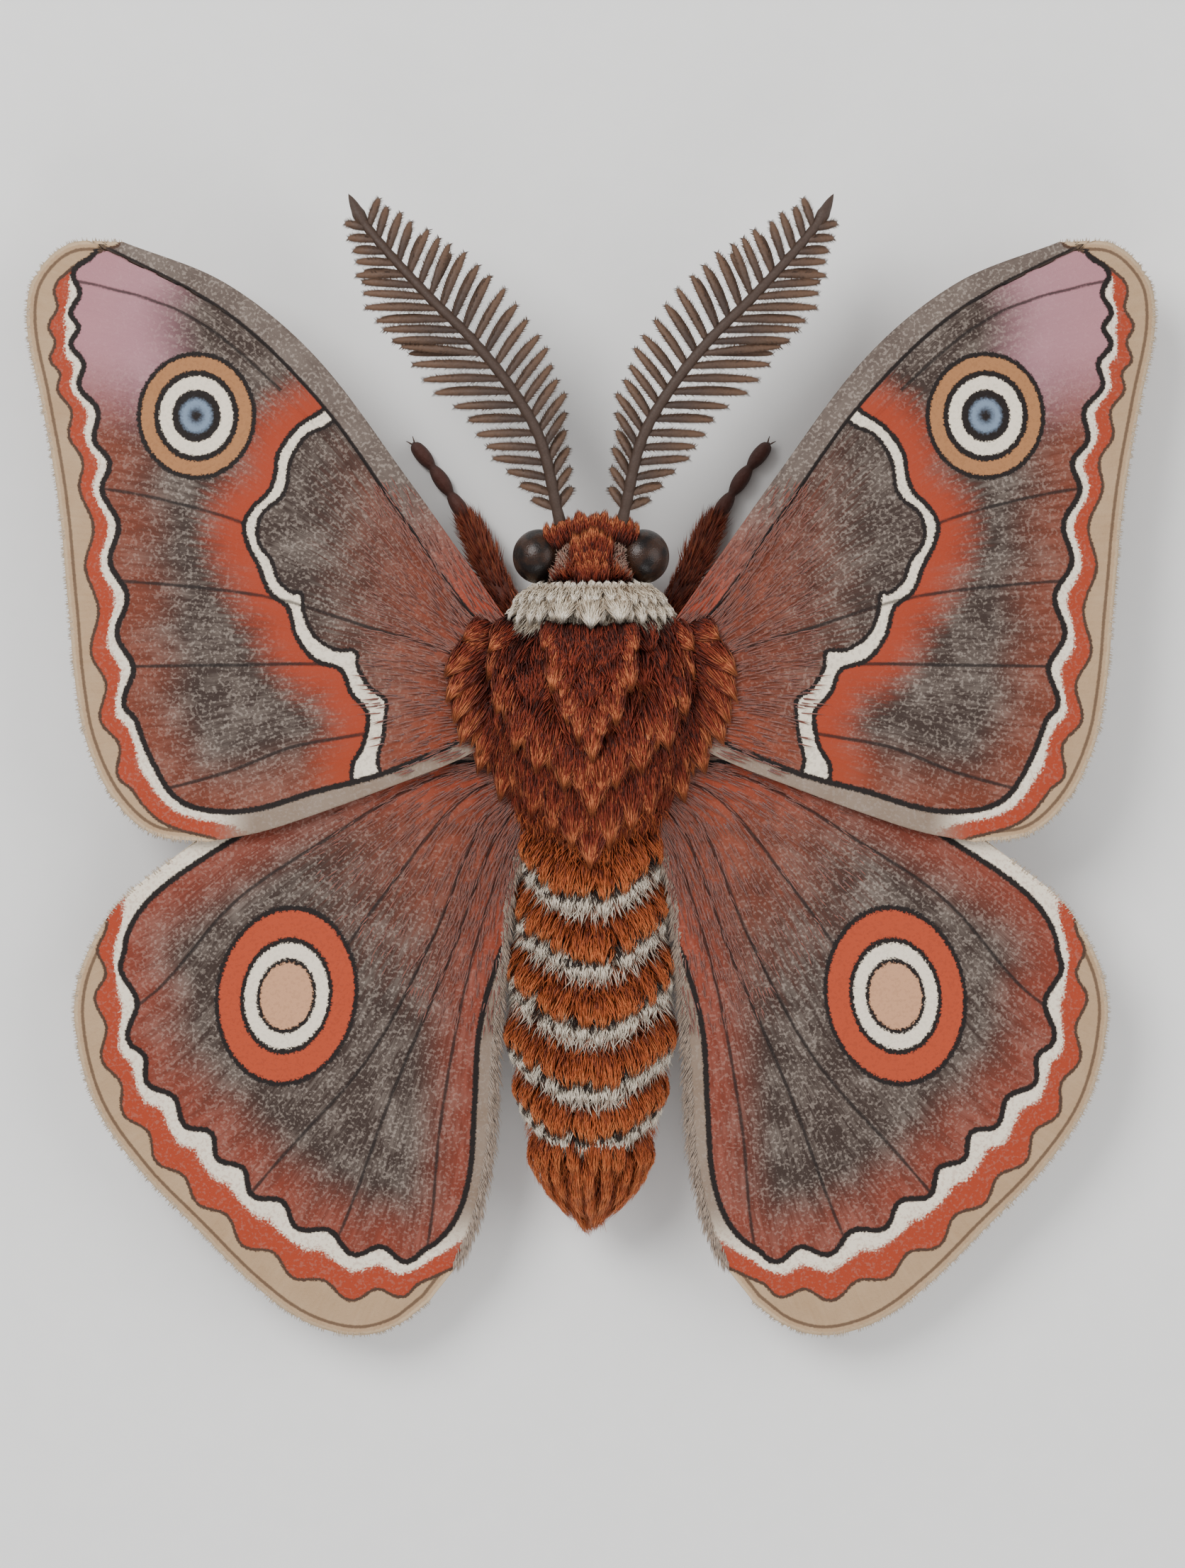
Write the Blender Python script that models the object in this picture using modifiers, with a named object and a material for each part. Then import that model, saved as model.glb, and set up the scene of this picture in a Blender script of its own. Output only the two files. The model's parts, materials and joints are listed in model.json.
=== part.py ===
# A cecropia moth at life size, standing on its six feet with its wings spread.
# Sizes are in millimetres, and each object's mesh is scaled to metres as it is made.
# The head points to +Y, the wings spread along X and the floor is at Z = 0.

import math
import random

import bmesh
import bpy
from mathutils import Matrix, Vector

MM = 0.001
GAP = 0.3  # left between neighbours that touch
SEED = 11

# Body forms, one row for each section along Y:
# y, half width, height of the widest level, rise above it, drop below it
THORAX = [
    (-12.5, 0.0, 13.0, 0.0, 0.0),
    (-9.0, 7.6, 13.0, 6.0, 6.0),
    (-4.0, 10.4, 14.2, 7.2, 7.0),
    (2.0, 13.0, 15.0, 8.4, 8.0),
    (9.5, 13.6, 15.0, 8.6, 8.0),
    (16.0, 11.6, 15.0, 7.6, 6.8),
    (20.5, 7.6, 15.0, 5.6, 5.2),
    (22.5, 0.0, 15.0, 0.0, 0.0),
]
COLLAR = [
    (15.5, 0.0, 15.0, 0.0, 0.0),
    (18.6, 9.6, 15.0, 7.0, 6.2),
    (21.3, 8.4, 15.0, 6.6, 5.8),
    (24.0, 6.2, 15.0, 5.6, 5.0),
    (26.0, 0.0, 15.0, 0.0, 0.0),
]
HEAD = [
    (21.5, 0.0, 15.0, 0.0, 0.0),
    (25.0, 5.9, 15.0, 5.4, 5.0),
    (28.0, 6.2, 14.9, 5.6, 5.2),
    (30.4, 4.9, 14.6, 4.6, 4.5),
    (32.0, 0.0, 14.4, 0.0, 0.0),
]
ABDOMEN = [
    (-60.4, 0.0, 9.8, 0.0, 0.0),
    (-58.0, 3.0, 10.2, 3.2, 3.6),
    (-54.0, 5.4, 10.8, 5.4, 5.8),
    (-48.0, 7.2, 11.5, 6.9, 7.2),
    (-41.0, 8.6, 11.9, 7.9, 8.0),
    (-35.1, 9.6, 12.0, 8.5, 8.4),
    (-28.8, 9.3, 12.0, 8.3, 8.0),
    (-21.3, 8.6, 12.1, 7.8, 7.4),
    (-12.0, 7.7, 12.4, 7.2, 6.8),
    (-7.5, 6.9, 12.6, 6.0, 5.8),
    (-5.0, 0.0, 12.6, 0.0, 0.0),
]
BODY_SIDES = 16
BODY_RINGS = {"head": 10, "collar": 10, "thorax": 14, "abdomen": 16}
NECK_Y = 23.9  # the head meets the collar here
SHOULDER_Y = 18.6  # the collar meets the thorax here
WAIST_Y = -8.5  # the thorax meets the abdomen here

# Eyes: centre and half axes of the right one
EYE_CENTER = (6.9, 27.8, 15.6)
EYE_HALF = (3.5, 3.65, 3.5)
EYE_SIDES, EYE_RINGS = 12, 9

# Antennae: the shaft of the right one from its base to its tip, and the reach of its branches
SHAFT = [(3.3, 29.5, 17.0), (4.3, 33.1, 18.6), (6.6, 42.7, 20.6), (10.3, 49.3, 21.4), (15.6, 55.9, 21.6),
         (21.6, 61.9, 21.2), (29.4, 70.8, 19.8), (31.9, 75.3, 19.0)]
SHAFT_RADIUS = (0.8, 0.5)  # at the base and at the tip
SHAFT_SIDES, SHAFT_RINGS = 6, 18
BRANCHES = 17
BRANCH_SPAN = (0.1, 0.93)  # first and last root along the shaft
BRANCH_RINGS = 3
BRANCH_WIDTH = 1.1
BRANCH_THICKNESS = 0.9
INNER_REACH = [2.6, 4.6, 6.6, 7.8, 8.2, 7.2, 5.4, 3.8, 2.2]  # sideways from the shaft, base to tip
OUTER_REACH = [3.2, 6.2, 7.6, 8.2, 8.4, 8.0, 7.0, 5.2, 2.0]
BRANCH_RAKE = 2.6  # how far each tip lies towards the end of the shaft
BRANCH_DROP = 1.2
BRANCH_BEND = {"across": 0.6, "along": 0.15, "up": 0.3}  # shares of the reach and rake, and a height

# Palps under the face
PALP_PATH = [(1.4, 28.8, 11.6), (1.9, 31.2, 9.4), (1.7, 33.4, 9.6)]
PALP_RADIUS = 1.0
PALP_TAPER = 0.45
PALP_SIDES, PALP_RINGS = 7, 6

# Legs of the right side: path from the socket to the claw, with the radius at each point
LEGS = {
    "front": [((5.5, 13.5, 10.2), 2.0), ((8.6, 18.4, 7.6), 2.0), ((11.6, 22.6, 8.0), 1.9),
              ((14.0, 27.6, 5.4), 1.6), ((16.4, 32.8, 1.7), 1.1), ((18.6, 36.4, 0.6), 0.85),
              ((21.0, 39.7, 0.5), 0.8), ((23.4, 42.5, 0.5), 0.7)],
    "middle": [((7.6, 5.0, 9.6), 2.0), ((13.0, 6.6, 7.4), 1.9), ((18.6, 8.0, 7.8), 1.7),
               ((21.4, 5.0, 4.6), 1.4), ((23.2, 1.2, 1.6), 1.0), ((24.8, -2.6, 0.6), 0.85),
               ((26.6, -6.2, 0.5), 0.8), ((28.4, -9.6, 0.5), 0.7)],
    "hind": [((5.4, -3.0, 9.6), 2.0), ((10.6, -7.0, 7.2), 1.9), ((15.6, -12.0, 7.6), 1.7),
             ((17.8, -17.0, 4.6), 1.4), ((19.2, -21.6, 1.6), 1.0), ((20.2, -25.6, 0.6), 0.85),
             ((21.0, -29.4, 0.5), 0.8), ((21.6, -33.2, 0.5), 0.7)],
}
LEG_SIDES = 6
LEG_RINGS = 15

# Wings: the lie of the forewing's sheet, and how far the hindwing's lies below it
WING_ROOT_Z = 16.8
WING_SPAN = (11.0, 75.0)  # root and tip, from the middle
WING_ARCH = 1.6
WING_DROOP = 3.0
WING_CURVE = 0.0007  # drop for each square millimetre along Y
WING_MIDDLE_Y = 8.0
HIND_BELOW = 1.8
HIND_CURVE = 0.0005
HIND_CURVE_Y = -10.0
MEMBRANE = 0.6
VEIN = 1.0
VEIN_HALF_WIDTH = 0.45
EDGE_VEIN = 0.5  # share of a vein's height along the front edge
VEIN_FADE = 0.3  # share of its height that a vein has lost at the margin
SHOULDER_LIMIT = 0.4  # a vein's foot stays within this share of the way to the next line
WING_STATIONS = 8
WING_SPLIT_Y = 0.0  # behind this the hindwing is the one under the thorax coat
SLOT_REACH = 14.0  # length of the slots that keep the coat clear of the wings
SLOT_COLUMNS, SLOT_ROWS = 6, 5

# Wing plans of the right side. Each line runs from the root to the margin through a few places,
# and ends at its share of the way round the margin. The first and last lines are the edges.
FOREWING = {
    "root": [(9.4, 17.0), (11.4, 4.5)],
    "margin": [(62.0, 69.6), (69.4, 69.5), (74.1, 65.0), (75.0, 58.9), (73.0, 48.8), (70.7, 36.5),
               (69.2, 22.0), (68.2, 11.2), (66.8, 3.6), (63.3, -3.9), (58.0, -8.8), (50.6, -9.9)],
    "lines": [
        (0.0, 0.0, [(12.1, 20.8), (24.4, 38.2), (36.4, 54.1), (48.3, 63.9)]),
        (0.06, 0.04, [(15.1, 19.4), (24.5, 32.4), (35.7, 48.0), (48.3, 60.1)]),
        (0.16, 0.13, [(17.0, 19.4), (29.4, 36.6), (41.7, 50.4), (54.3, 60.2)]),
        (0.40, 0.42, [(22.0, 18.6), (34.0, 26.4), (45.5, 32.0), (58.0, 35.6)]),
        (0.58, 0.55, [(18.1, 14.8), (30.0, 18.6), (41.4, 22.1), (54.3, 23.9)]),
        (0.72, 0.67, [(20.0, 11.4), (34.5, 13.4), (47.0, 13.4)]),
        (0.86, 0.86, [(20.0, 6.8), (29.7, 4.4), (39.3, 2.6), (48.3, -0.8)]),
        (1.0, 1.0, [(17.1, 1.1), (27.4, -3.0), (36.4, -6.3), (43.6, -8.6)]),
    ],
    "between": [1, 1, 4, 2, 2, 3, 2],
}
HINDWING = {
    "root": [(11.2, 2.6), (7.4, -6.6)],
    "margin": [(55.4, -12.1), (62.8, -18.2), (67.6, -26.4), (68.7, -33.6), (66.2, -44.6), (60.0, -53.8),
               (52.0, -62.0), (45.3, -68.8), (38.6, -73.8), (31.8, -75.9), (26.2, -74.7), (21.6, -71.3)],
    "lines": [
        (0.0, 0.0, [(22.0, 4.0), (34.0, 2.2), (44.0, -3.6)]),
        (0.16, 0.30, [(22.4, -2.2), (35.0, -9.6), (47.0, -17.8), (58.0, -30.0)]),
        (0.36, 0.52, [(17.4, -4.6), (26.4, -15.6), (34.0, -26.4), (45.0, -44.6)]),
        (0.54, 0.64, [(14.4, -7.4), (20.9, -22.5), (29.6, -38.6), (41.6, -52.4)]),
        (0.72, 0.80, [(12.8, -9.6), (18.2, -24.0), (26.4, -43.4), (33.0, -61.0)]),
        (0.86, 0.94, [(11.8, -13.0), (16.4, -28.0), (20.0, -47.4), (21.9, -64.0)]),
        (1.0, 1.0, [(9.9, -14.2), (11.2, -24.4), (12.2, -37.0), (13.3, -52.5), (16.2, -63.6)]),
    ],
    "between": [3, 3, 1, 2, 2, 2],
}

# Coat of flat locks
LOCK_SIDES, LOCK_RINGS = 3, 4
LOCK_TAPER = 0.45  # share of its thickness that a lock has lost at its tip
LOCK_WIDEST = 0.25  # how far round its swelling a lock's root begins
SINK = 1.3  # depth of a lock's root under the surface
UNEVEN = 0.12  # share by which lengths and widths vary
BULGE = {"share": 0.45, "of_lift": 1.3, "more": 0.6}  # where and how far a lock's middle stands out

# Thorax coat: three tiers that spread from the neck. Tips of the right side run from the shoulder
# round to the point over the waist.
COAT_FOCUS = (0.0, 22.0)
COAT_TIERS = [
    {"tips": [(16.9, 16.7), (19.4, 11.7), (19.2, 8.3), (18.3, 5.3), (15.1, -1.2), (8.0, -7.6), (0.0, -13.2)],
     "locks": 11, "length": 9.5, "width": 4.4, "lift": 1.3},
    {"tips": [(13.6, 14.9), (13.5, 11.1), (12.4, 6.4), (10.1, 1.8), (6.9, -1.2), (0.0, -6.3)],
     "locks": 7, "length": 8.5, "width": 4.8, "lift": 2.0},
    {"tips": [(6.9, 14.9), (6.2, 9.6), (4.0, 5.3), (0.0, 0.5)],
     "locks": 4, "length": 8.5, "width": 4.2, "lift": 2.4},
    {"tips": [(3.4, 13.2), (0.0, 8.2)],
     "locks": 1, "length": 7.5, "width": 4.6, "lift": 2.6},
]
COAT_THICKNESS = 1.6
COAT_MIDDLE_LIFT = 1.5  # height of a lock's middle, as a share of its tier's lift
COAT_ROOT = {"behind": 1.2, "within": 0.8}  # roots stay behind the collar and within the back's width
COAT_SCATTER = 0.15  # share of a lock's spacing by which its tip is moved
UNDER_ROWS = [13.0, 5.5, -1.5]  # roots of the short coat under the thorax
UNDER_ANGLES = [-22, -48, -76]
UNDER_LOCK = {"length": 7.5, "width": 6.4, "thickness": 1.6, "lift": 1.8}

# Collar ruff: root and tip along Y, how far the tips stand out, and the number of locks
RUFF_ROWS = [(21.0, 19.3, 2.6, 11), (22.9, 20.9, 2.3, 9)]
RUFF_ANGLES = (-24, 204)
RUFF_LOCK = {"width": 5.4, "thickness": 1.5}

# Abdomen bands: tips of each row on the back and at the sides
BAND_ROWS = [(-19.8, -14.2), (-28.1, -21.3), (-36.6, -29.6), (-44.7, -39.1), (-51.8, -46.8), (-58.6, -54.8)]
BAND_LOCKS = 10
BAND_LOCK = {"length": 7.8, "width": 7.4, "thickness": 1.6, "lift": 1.5, "side_lift": 0.9}
BAND_SCATTER = 0.12
BAND_SIZE = (0.4, 0.06)  # share of the width, and how much it grows with the abdomen's half width
TAIL = {"locks": 5, "root_y": -57.0, "bend_y": -59.8, "tip_y": -61.9, "root_out": 1.6, "bend_out": 3.0,
        "tip_out": 1.0, "width": 3.4, "thickness": 1.4}

# Head tufts: root and tip along Y, how far they stand out, angles from and to, and the number of locks
HEAD_ROWS = [(26.2, 29.6, 1.3, 35, 145, 6), (29.0, 33.6, 0.2, -36, 216, 8)]
HEAD_LOCK = {"width": 2.8, "thickness": 1.2}
HEAD_FRONT_Y = 31.6  # tips of the face's tufts go no further
ANGLE_SCATTER = 2.0  # degrees
SHARP_ANGLE = 40.0  # degrees; edges sharper than this stay sharp in the shading
WELD = 1e-4

COLORS = {
    "thorax": ((0.36, 0.07, 0.03), 0.85),
    "collar": ((0.82, 0.76, 0.66), 0.85),
    "head": ((0.34, 0.08, 0.04), 0.85),
    "abdomen": ((0.52, 0.16, 0.06), 0.85),
    "eye": ((0.02, 0.015, 0.01), 0.15),
    "antenna": ((0.09, 0.06, 0.04), 0.7),
    "palp": ((0.36, 0.08, 0.04), 0.85),
    "leg": ((0.32, 0.10, 0.06), 0.8),
    "forewing": ((0.20, 0.15, 0.12), 0.8),
    "hindwing": ((0.22, 0.14, 0.11), 0.8),
}


# Small helpers

def mix(a, b, share):
    return a + (b - a) * share


def clamp(value, low, high):
    return max(low, min(high, value))


def smooth_value(rows, at):
    # rows of (place, values...), read at a place between them on a smooth curve
    last = len(rows) - 1
    at = clamp(at, rows[0][0], rows[-1][0])
    i = max(k for k in range(last) if rows[k][0] <= at or k == 0)
    step = rows[i + 1][0] - rows[i][0]
    t = (at - rows[i][0]) / step
    found = []
    for c in range(1, len(rows[0])):
        p, q = rows[i][c], rows[i + 1][c]
        before = rows[max(i - 1, 0)]
        after = rows[min(i + 2, last)]
        m0 = (q - before[c]) / (rows[i + 1][0] - before[0]) * step
        m1 = (after[c] - p) / (after[0] - rows[i][0]) * step
        found.append((2 * t**3 - 3 * t**2 + 1) * p + (t**3 - 2 * t**2 + t) * m0
                     + (-2 * t**3 + 3 * t**2) * q + (t**3 - t**2) * m1)
    return found


class Path:
    # A smooth curve through places of any dimension, read by its share of length

    def __init__(self, places):
        self.rows = [(0.0, *places[0])]
        for a, b in zip(places, places[1:]):
            length = math.dist(a, b)
            self.rows.append((self.rows[-1][0] + length, *b))
        self.length = self.rows[-1][0]

    def at(self, share):
        return Vector(smooth_value(self.rows, share * self.length))

    def along(self, share):
        step = 0.01
        return (self.at(min(1, share + step)) - self.at(max(0, share - step))).normalized()


class Form:
    # A rounded body along Y whose sections are ellipses with unlike upper and lower halves

    def __init__(self, rows):
        self.rows = rows

    def section(self, y):
        width, level, rise, drop = smooth_value(self.rows, y)
        return max(0.0, width), level, max(0.0, rise), max(0.0, drop)

    def point(self, y, angle, grow=0.0):
        width, level, rise, drop = self.section(y)
        up = (rise if math.sin(angle) > 0 else drop) + grow
        return Vector(((width + grow) * math.cos(angle), y, level + up * math.sin(angle)))

    def normal(self, y, angle):
        step = 0.05
        around = self.point(y, angle + step) - self.point(y, angle - step)
        along = self.point(y + step, angle) - self.point(y - step, angle)
        return along.cross(around).normalized()

    def top(self, x, y):
        # height of the back over a place, or None beside the form
        width, level, rise, _ = self.section(y)
        if not self.rows[0][0] < y < self.rows[-1][0] or abs(x) >= width:
            return None
        return level + rise * math.sqrt(1 - (x / width) ** 2)


def rounded(sides, rings, place):
    # A sphere's rings laid out by place(share from root to tip, angle round)
    bm = bmesh.new()
    bmesh.ops.create_uvsphere(bm, u_segments=sides, v_segments=rings, radius=1.0)
    for v in bm.verts:
        share = math.acos(clamp(v.co.z, -1.0, 1.0)) / math.pi
        v.co = place(share, math.atan2(v.co.y, v.co.x))
    if bm.calc_volume(signed=True) < 0:
        bmesh.ops.reverse_faces(bm, faces=bm.faces)
    return bm


def form_mesh(form, sides, rings):
    first, last = form.rows[0][0], form.rows[-1][0]

    def place(share, angle):
        y = mix(first, last, (1 - math.cos(math.pi * share)) / 2)
        if share in (0.0, 1.0):
            return Vector((0.0, y, form.section(y)[1]))
        return form.point(y, angle)

    return rounded(sides, rings, place)


def tube(path, radius, sides, rings, grow=0.0):
    # A tube with flat ends along the path; radius gives its radius at a share of the length.
    # The first and last rings lie on the flat ends, so the shares in between are spread over the rest.
    def place(share, angle):
        s = clamp((share * rings - 1) / (rings - 2), 0.0, 1.0)
        middle, along = path.at(s), path.along(s)
        across = along.cross(Vector((0.0, 0.0, 1.0))).normalized()
        up = across.cross(along)
        end = -1 if share * rings < 1.5 else 1 if share * rings > rings - 1.5 else 0
        middle = middle + along * (end * grow)
        if share < 0.5 / rings or share > 1 - 0.5 / rings:
            return middle
        r = radius(s) + grow
        return middle + across * (r * math.cos(angle)) + up * (r * math.sin(angle))

    return rounded(sides, rings, place)


def lock(root, bend, tip, up, width, thickness, rings=LOCK_RINGS):
    # A flat three-sided lock, keeled on top, that tapers from its sunk root over a bend to its tip
    root, bend, tip = Vector(root), Vector(bend), Vector(tip)

    def place(share, angle):
        turned = angle + math.pi / 2
        middle = root * (1 - share) ** 2 + bend * (2 * share * (1 - share)) + tip * share**2
        along = ((bend - root) * (1 - share) + (tip - bend) * share).normalized()
        across = along.cross(Vector(up)).normalized()
        rise = across.cross(along)
        inside = 0 < share < 1
        swell = math.sin(math.pi * mix(LOCK_WIDEST, 1.0, share)) ** 0.8 if inside else 0.0
        thin = 1 - LOCK_TAPER * share if inside else 0.0
        return (middle + across * (width / 2 * swell * math.cos(turned))
                + rise * (thickness / 2 * thin * math.sin(turned)))

    return to_mesh(rounded(LOCK_SIDES, rings, place))


def cut(bm, point, normal):
    # Keeps what lies behind the plane and closes the cut with a flat face
    bmesh.ops.bisect_plane(bm, geom=bm.verts[:] + bm.edges[:] + bm.faces[:], dist=WELD, plane_co=point,
                           plane_no=normal, clear_outer=True)
    open_edges = [e for e in bm.edges if e.is_boundary]
    if open_edges:
        bmesh.ops.holes_fill(bm, edges=open_edges, sides=0)
    return bm


def to_mesh(bm):
    mesh = bpy.data.meshes.new("piece")
    bmesh.ops.triangulate(bm, faces=[f for f in bm.faces if len(f.verts) > 4])
    bm.to_mesh(mesh)
    bm.free()
    return mesh


def mirrored(mesh):
    # The same mesh on the left side
    bm = bmesh.new()
    bm.from_mesh(mesh)
    bm.transform(Matrix.Scale(-1, 4, (1, 0, 0)))
    bmesh.ops.reverse_faces(bm, faces=bm.faces)
    return to_mesh(bm)


def applied(obj):
    return bpy.data.meshes.new_from_object(obj.evaluated_get(bpy.context.evaluated_depsgraph_get()))


def combine(base, pieces, operation):
    # The base mesh joined with, or cut by, all the pieces at once
    scene_objects = bpy.context.scene.collection.objects
    target = bpy.data.objects.new("target", base)
    scene_objects.link(target)
    group = bpy.data.collections.new("pieces")
    for piece in pieces:
        group.objects.link(bpy.data.objects.new("piece", piece))
    modifier = target.modifiers.new("combine", "BOOLEAN")
    modifier.operation = operation
    modifier.solver = "MANIFOLD"
    modifier.operand_type = "COLLECTION"
    modifier.collection = group
    mesh = applied(target)
    for each in [target, *group.objects]:
        bpy.data.objects.remove(each)
    bpy.data.collections.remove(group)
    return mesh


def largest(mesh):
    # Drops every closed surface but the one of most volume
    bm = bmesh.new()
    bm.from_mesh(mesh)
    bmesh.ops.triangulate(bm, faces=bm.faces)
    left = set(bm.verts)
    parts = []
    while left:
        stack = [left.pop()]
        part = set(stack)
        while stack:
            for edge in stack.pop().link_edges:
                for v in edge.verts:
                    if v not in part:
                        part.add(v)
                        stack.append(v)
        left -= part
        faces = {f for v in part for f in v.link_faces}
        volume = sum(f.verts[0].co.dot(f.verts[1].co.cross(f.verts[2].co)) for f in faces) / 6
        parts.append((volume, part))
    keep = max(parts, key=lambda p: p[0])[1]
    bmesh.ops.delete(bm, geom=[v for v in bm.verts if v not in keep], context="VERTS")
    return to_mesh(bm)


def add_node(name, mesh, kind):
    # One named object in metres with its own material
    mesh.transform(Matrix.Scale(MM, 4))
    mesh.name = name
    mesh.materials.clear()
    color, roughness = COLORS[kind]
    material = bpy.data.materials.new(name)
    material.use_nodes = True
    shader = material.node_tree.nodes["Principled BSDF"]
    shader.inputs["Base Color"].default_value = (*color, 1.0)
    shader.inputs["Roughness"].default_value = roughness
    shader.inputs["Metallic"].default_value = 0.0
    mesh.materials.append(material)
    mesh.shade_smooth()
    mesh.set_sharp_from_angle(angle=math.radians(SHARP_ANGLE))
    moth.objects.link(bpy.data.objects.new(name, mesh))


# Wings

def forewing_z(x, y):
    s = (abs(x) - WING_SPAN[0]) / (WING_SPAN[1] - WING_SPAN[0])
    arch = WING_ARCH * math.sin(math.pi * clamp(s, 0.0, 1.0))
    return WING_ROOT_Z + arch - WING_DROOP * s * abs(s) - WING_CURVE * (y - WING_MIDDLE_Y) ** 2


def hindwing_z(x, y):
    return forewing_z(x, y) - HIND_BELOW - HIND_CURVE * min(0.0, y - HIND_CURVE_Y) ** 2


def wing_lines(plan):
    # The grid of the wing as lines from root to margin; each carries its share of a vein's height
    root, margin = Path(plan["root"]), Path(plan["margin"])
    stations = [k / (WING_STATIONS - 1) for k in range(WING_STATIONS)]
    main = []
    for at_root, at_margin, places in plan["lines"]:
        line = Path([tuple(root.at(at_root)), *places, tuple(margin.at(at_margin))])
        main.append((at_margin, [line.at(s) for s in stations]))
    lines = [(main[0][1], EDGE_VEIN)]
    for i, count in enumerate(plan["between"]):
        (t0, low), (t1, high) = main[i], main[i + 1]
        inner = []
        for k in range(1, count + 1):
            share = k / (count + 1)
            goal = margin.at(mix(t0, t1, share))
            line = [p.lerp(q, share) for p, q in zip(low, high)]
            miss = goal - line[-1]
            inner.append([p + miss * s**3 for p, s in zip(line, stations)])
        if i > 0:
            lines.append((shoulder(low, inner[0]), 0.0))
        lines.extend((line, 0.0) for line in inner)
        if i < len(plan["between"]) - 1:
            lines.append((shoulder(high, inner[-1]), 0.0))
            lines.append((high, 1.0))
        else:
            lines.append((high, 0.0))
    return lines


def shoulder(vein, neighbour):
    # The foot of a vein's ridge on the side of its neighbour
    return [p.lerp(q, min(SHOULDER_LIMIT, VEIN_HALF_WIDTH / max((q - p).length, WELD)))
            for p, q in zip(vein, neighbour)]


def wing(name, plan, height, kind):
    lines = wing_lines(plan)
    bm = bmesh.new()
    bmesh.ops.create_grid(bm, x_segments=len(lines) - 1, y_segments=WING_STATIONS - 1, size=1.0)
    bm.verts.ensure_lookup_table()
    weights = []
    for k, v in enumerate(bm.verts):
        station, line = divmod(k, len(lines))
        place = lines[line][0][station]
        v.co = (place.x, place.y, height(place.x, place.y))
        fade = 1 - VEIN_FADE * station / (WING_STATIONS - 1)
        weights.append(mix(MEMBRANE, VEIN, lines[line][1] * fade) / VEIN)
    bmesh.ops.triangulate(bm, faces=bm.faces)
    sheet = bpy.data.objects.new("sheet", to_mesh(bm))
    bpy.context.scene.collection.objects.link(sheet)
    group = sheet.vertex_groups.new(name="thickness")
    for k, weight in enumerate(weights):
        group.add([k], weight, "REPLACE")
    solid = sheet.modifiers.new("thickness", "SOLIDIFY")
    solid.thickness = VEIN
    solid.offset = 0.0
    solid.vertex_group = "thickness"
    solid.use_rim = True
    mesh = applied(sheet)
    bpy.data.objects.remove(sheet)
    bm = bmesh.new()
    bm.from_mesh(mesh)
    bmesh.ops.recalc_face_normals(bm, faces=bm.faces)
    mesh = to_mesh(bm)
    add_node(f"{name}_left", mirrored(mesh), kind)
    add_node(f"{name}_right", mesh, kind)


def wing_slot(plan, height):
    # A slab that follows the wing's sheet near its root, larger by the gap on every side
    root, low, high = Path(plan["root"]), plan["lines"][0], plan["lines"][-1]
    ends = [Path([tuple(root.at(0)), *low[2]]), Path([tuple(root.at(1)), *high[2]])]
    bm = bmesh.new()
    bmesh.ops.create_grid(bm, x_segments=SLOT_COLUMNS, y_segments=SLOT_ROWS, size=1.0)
    bm.verts.ensure_lookup_table()
    for k, v in enumerate(bm.verts):
        row, column = divmod(k, SLOT_COLUMNS + 1)
        sides = [end.at(SLOT_REACH * column / SLOT_COLUMNS / end.length) for end in ends]
        across = (sides[1] - sides[0]).normalized()
        place = (sides[0] - across * GAP).lerp(sides[1] + across * GAP, row / SLOT_ROWS)
        if column == 0:
            inward = Vector((across.y, -across.x))
            place += inward * (GAP * (-1 if inward.x > 0 else 1))
        v.co = (place.x, place.y, height(place.x, place.y))
    sheet = bpy.data.objects.new("slot", to_mesh(bm))
    bpy.context.scene.collection.objects.link(sheet)
    solid = sheet.modifiers.new("thickness", "SOLIDIFY")
    solid.thickness = VEIN + 2 * GAP
    solid.offset = 0.0
    mesh = applied(sheet)
    bpy.data.objects.remove(sheet)
    bm = bmesh.new()
    bm.from_mesh(mesh)
    bmesh.ops.triangulate(bm, faces=bm.faces)
    bmesh.ops.recalc_face_normals(bm, faces=bm.faces)
    return to_mesh(bm)


# Legs, eyes, antennae and palps

def leg_mesh(path_rows, grow=0.0):
    path = Path([place for place, _ in path_rows])
    radii = [(row[0] / path.length, radius) for row, (_, radius) in zip(path.rows, path_rows)]
    return tube(path, lambda s: smooth_value(radii, s)[0], LEG_SIDES, LEG_RINGS, grow)


def legs():
    for name, rows in LEGS.items():
        bm = leg_mesh(rows)
        cut(bm, (0.0, 0.0, 0.0), (0.0, 0.0, -1.0))
        mesh = to_mesh(bm)
        add_node(f"leg_{name}_left", mirrored(mesh), "leg")
        add_node(f"leg_{name}_right", mesh, "leg")


def eye_mesh(grow=0.0):
    half = [h + grow for h in EYE_HALF]
    center = Vector(EYE_CENTER)

    def place(share, angle):
        ring, along = math.sin(math.pi * share), math.cos(math.pi * share)
        return center + Vector((half[0] * along, half[1] * ring * math.cos(angle),
                                half[2] * ring * math.sin(angle)))

    return rounded(EYE_SIDES, EYE_RINGS, place)


def antenna_shaft(grow=0.0):
    path = Path(SHAFT)
    return tube(path, lambda s: mix(*SHAFT_RADIUS, s), SHAFT_SIDES, SHAFT_RINGS, grow)


def branch(path, share, side, reach):
    root = path.at(share)
    along = path.along(share)
    across = Vector((along.y, -along.x, 0.0)).normalized() * side
    tip = root + across * reach + along * BRANCH_RAKE - Vector((0.0, 0.0, BRANCH_DROP))
    bend = (root + across * (reach * BRANCH_BEND["across"]) + along * (BRANCH_RAKE * BRANCH_BEND["along"])
            + Vector((0.0, 0.0, BRANCH_BEND["up"])))
    return lock(root, bend, tip, (0.0, 0.0, 1.0), BRANCH_WIDTH, BRANCH_THICKNESS, BRANCH_RINGS)


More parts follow.
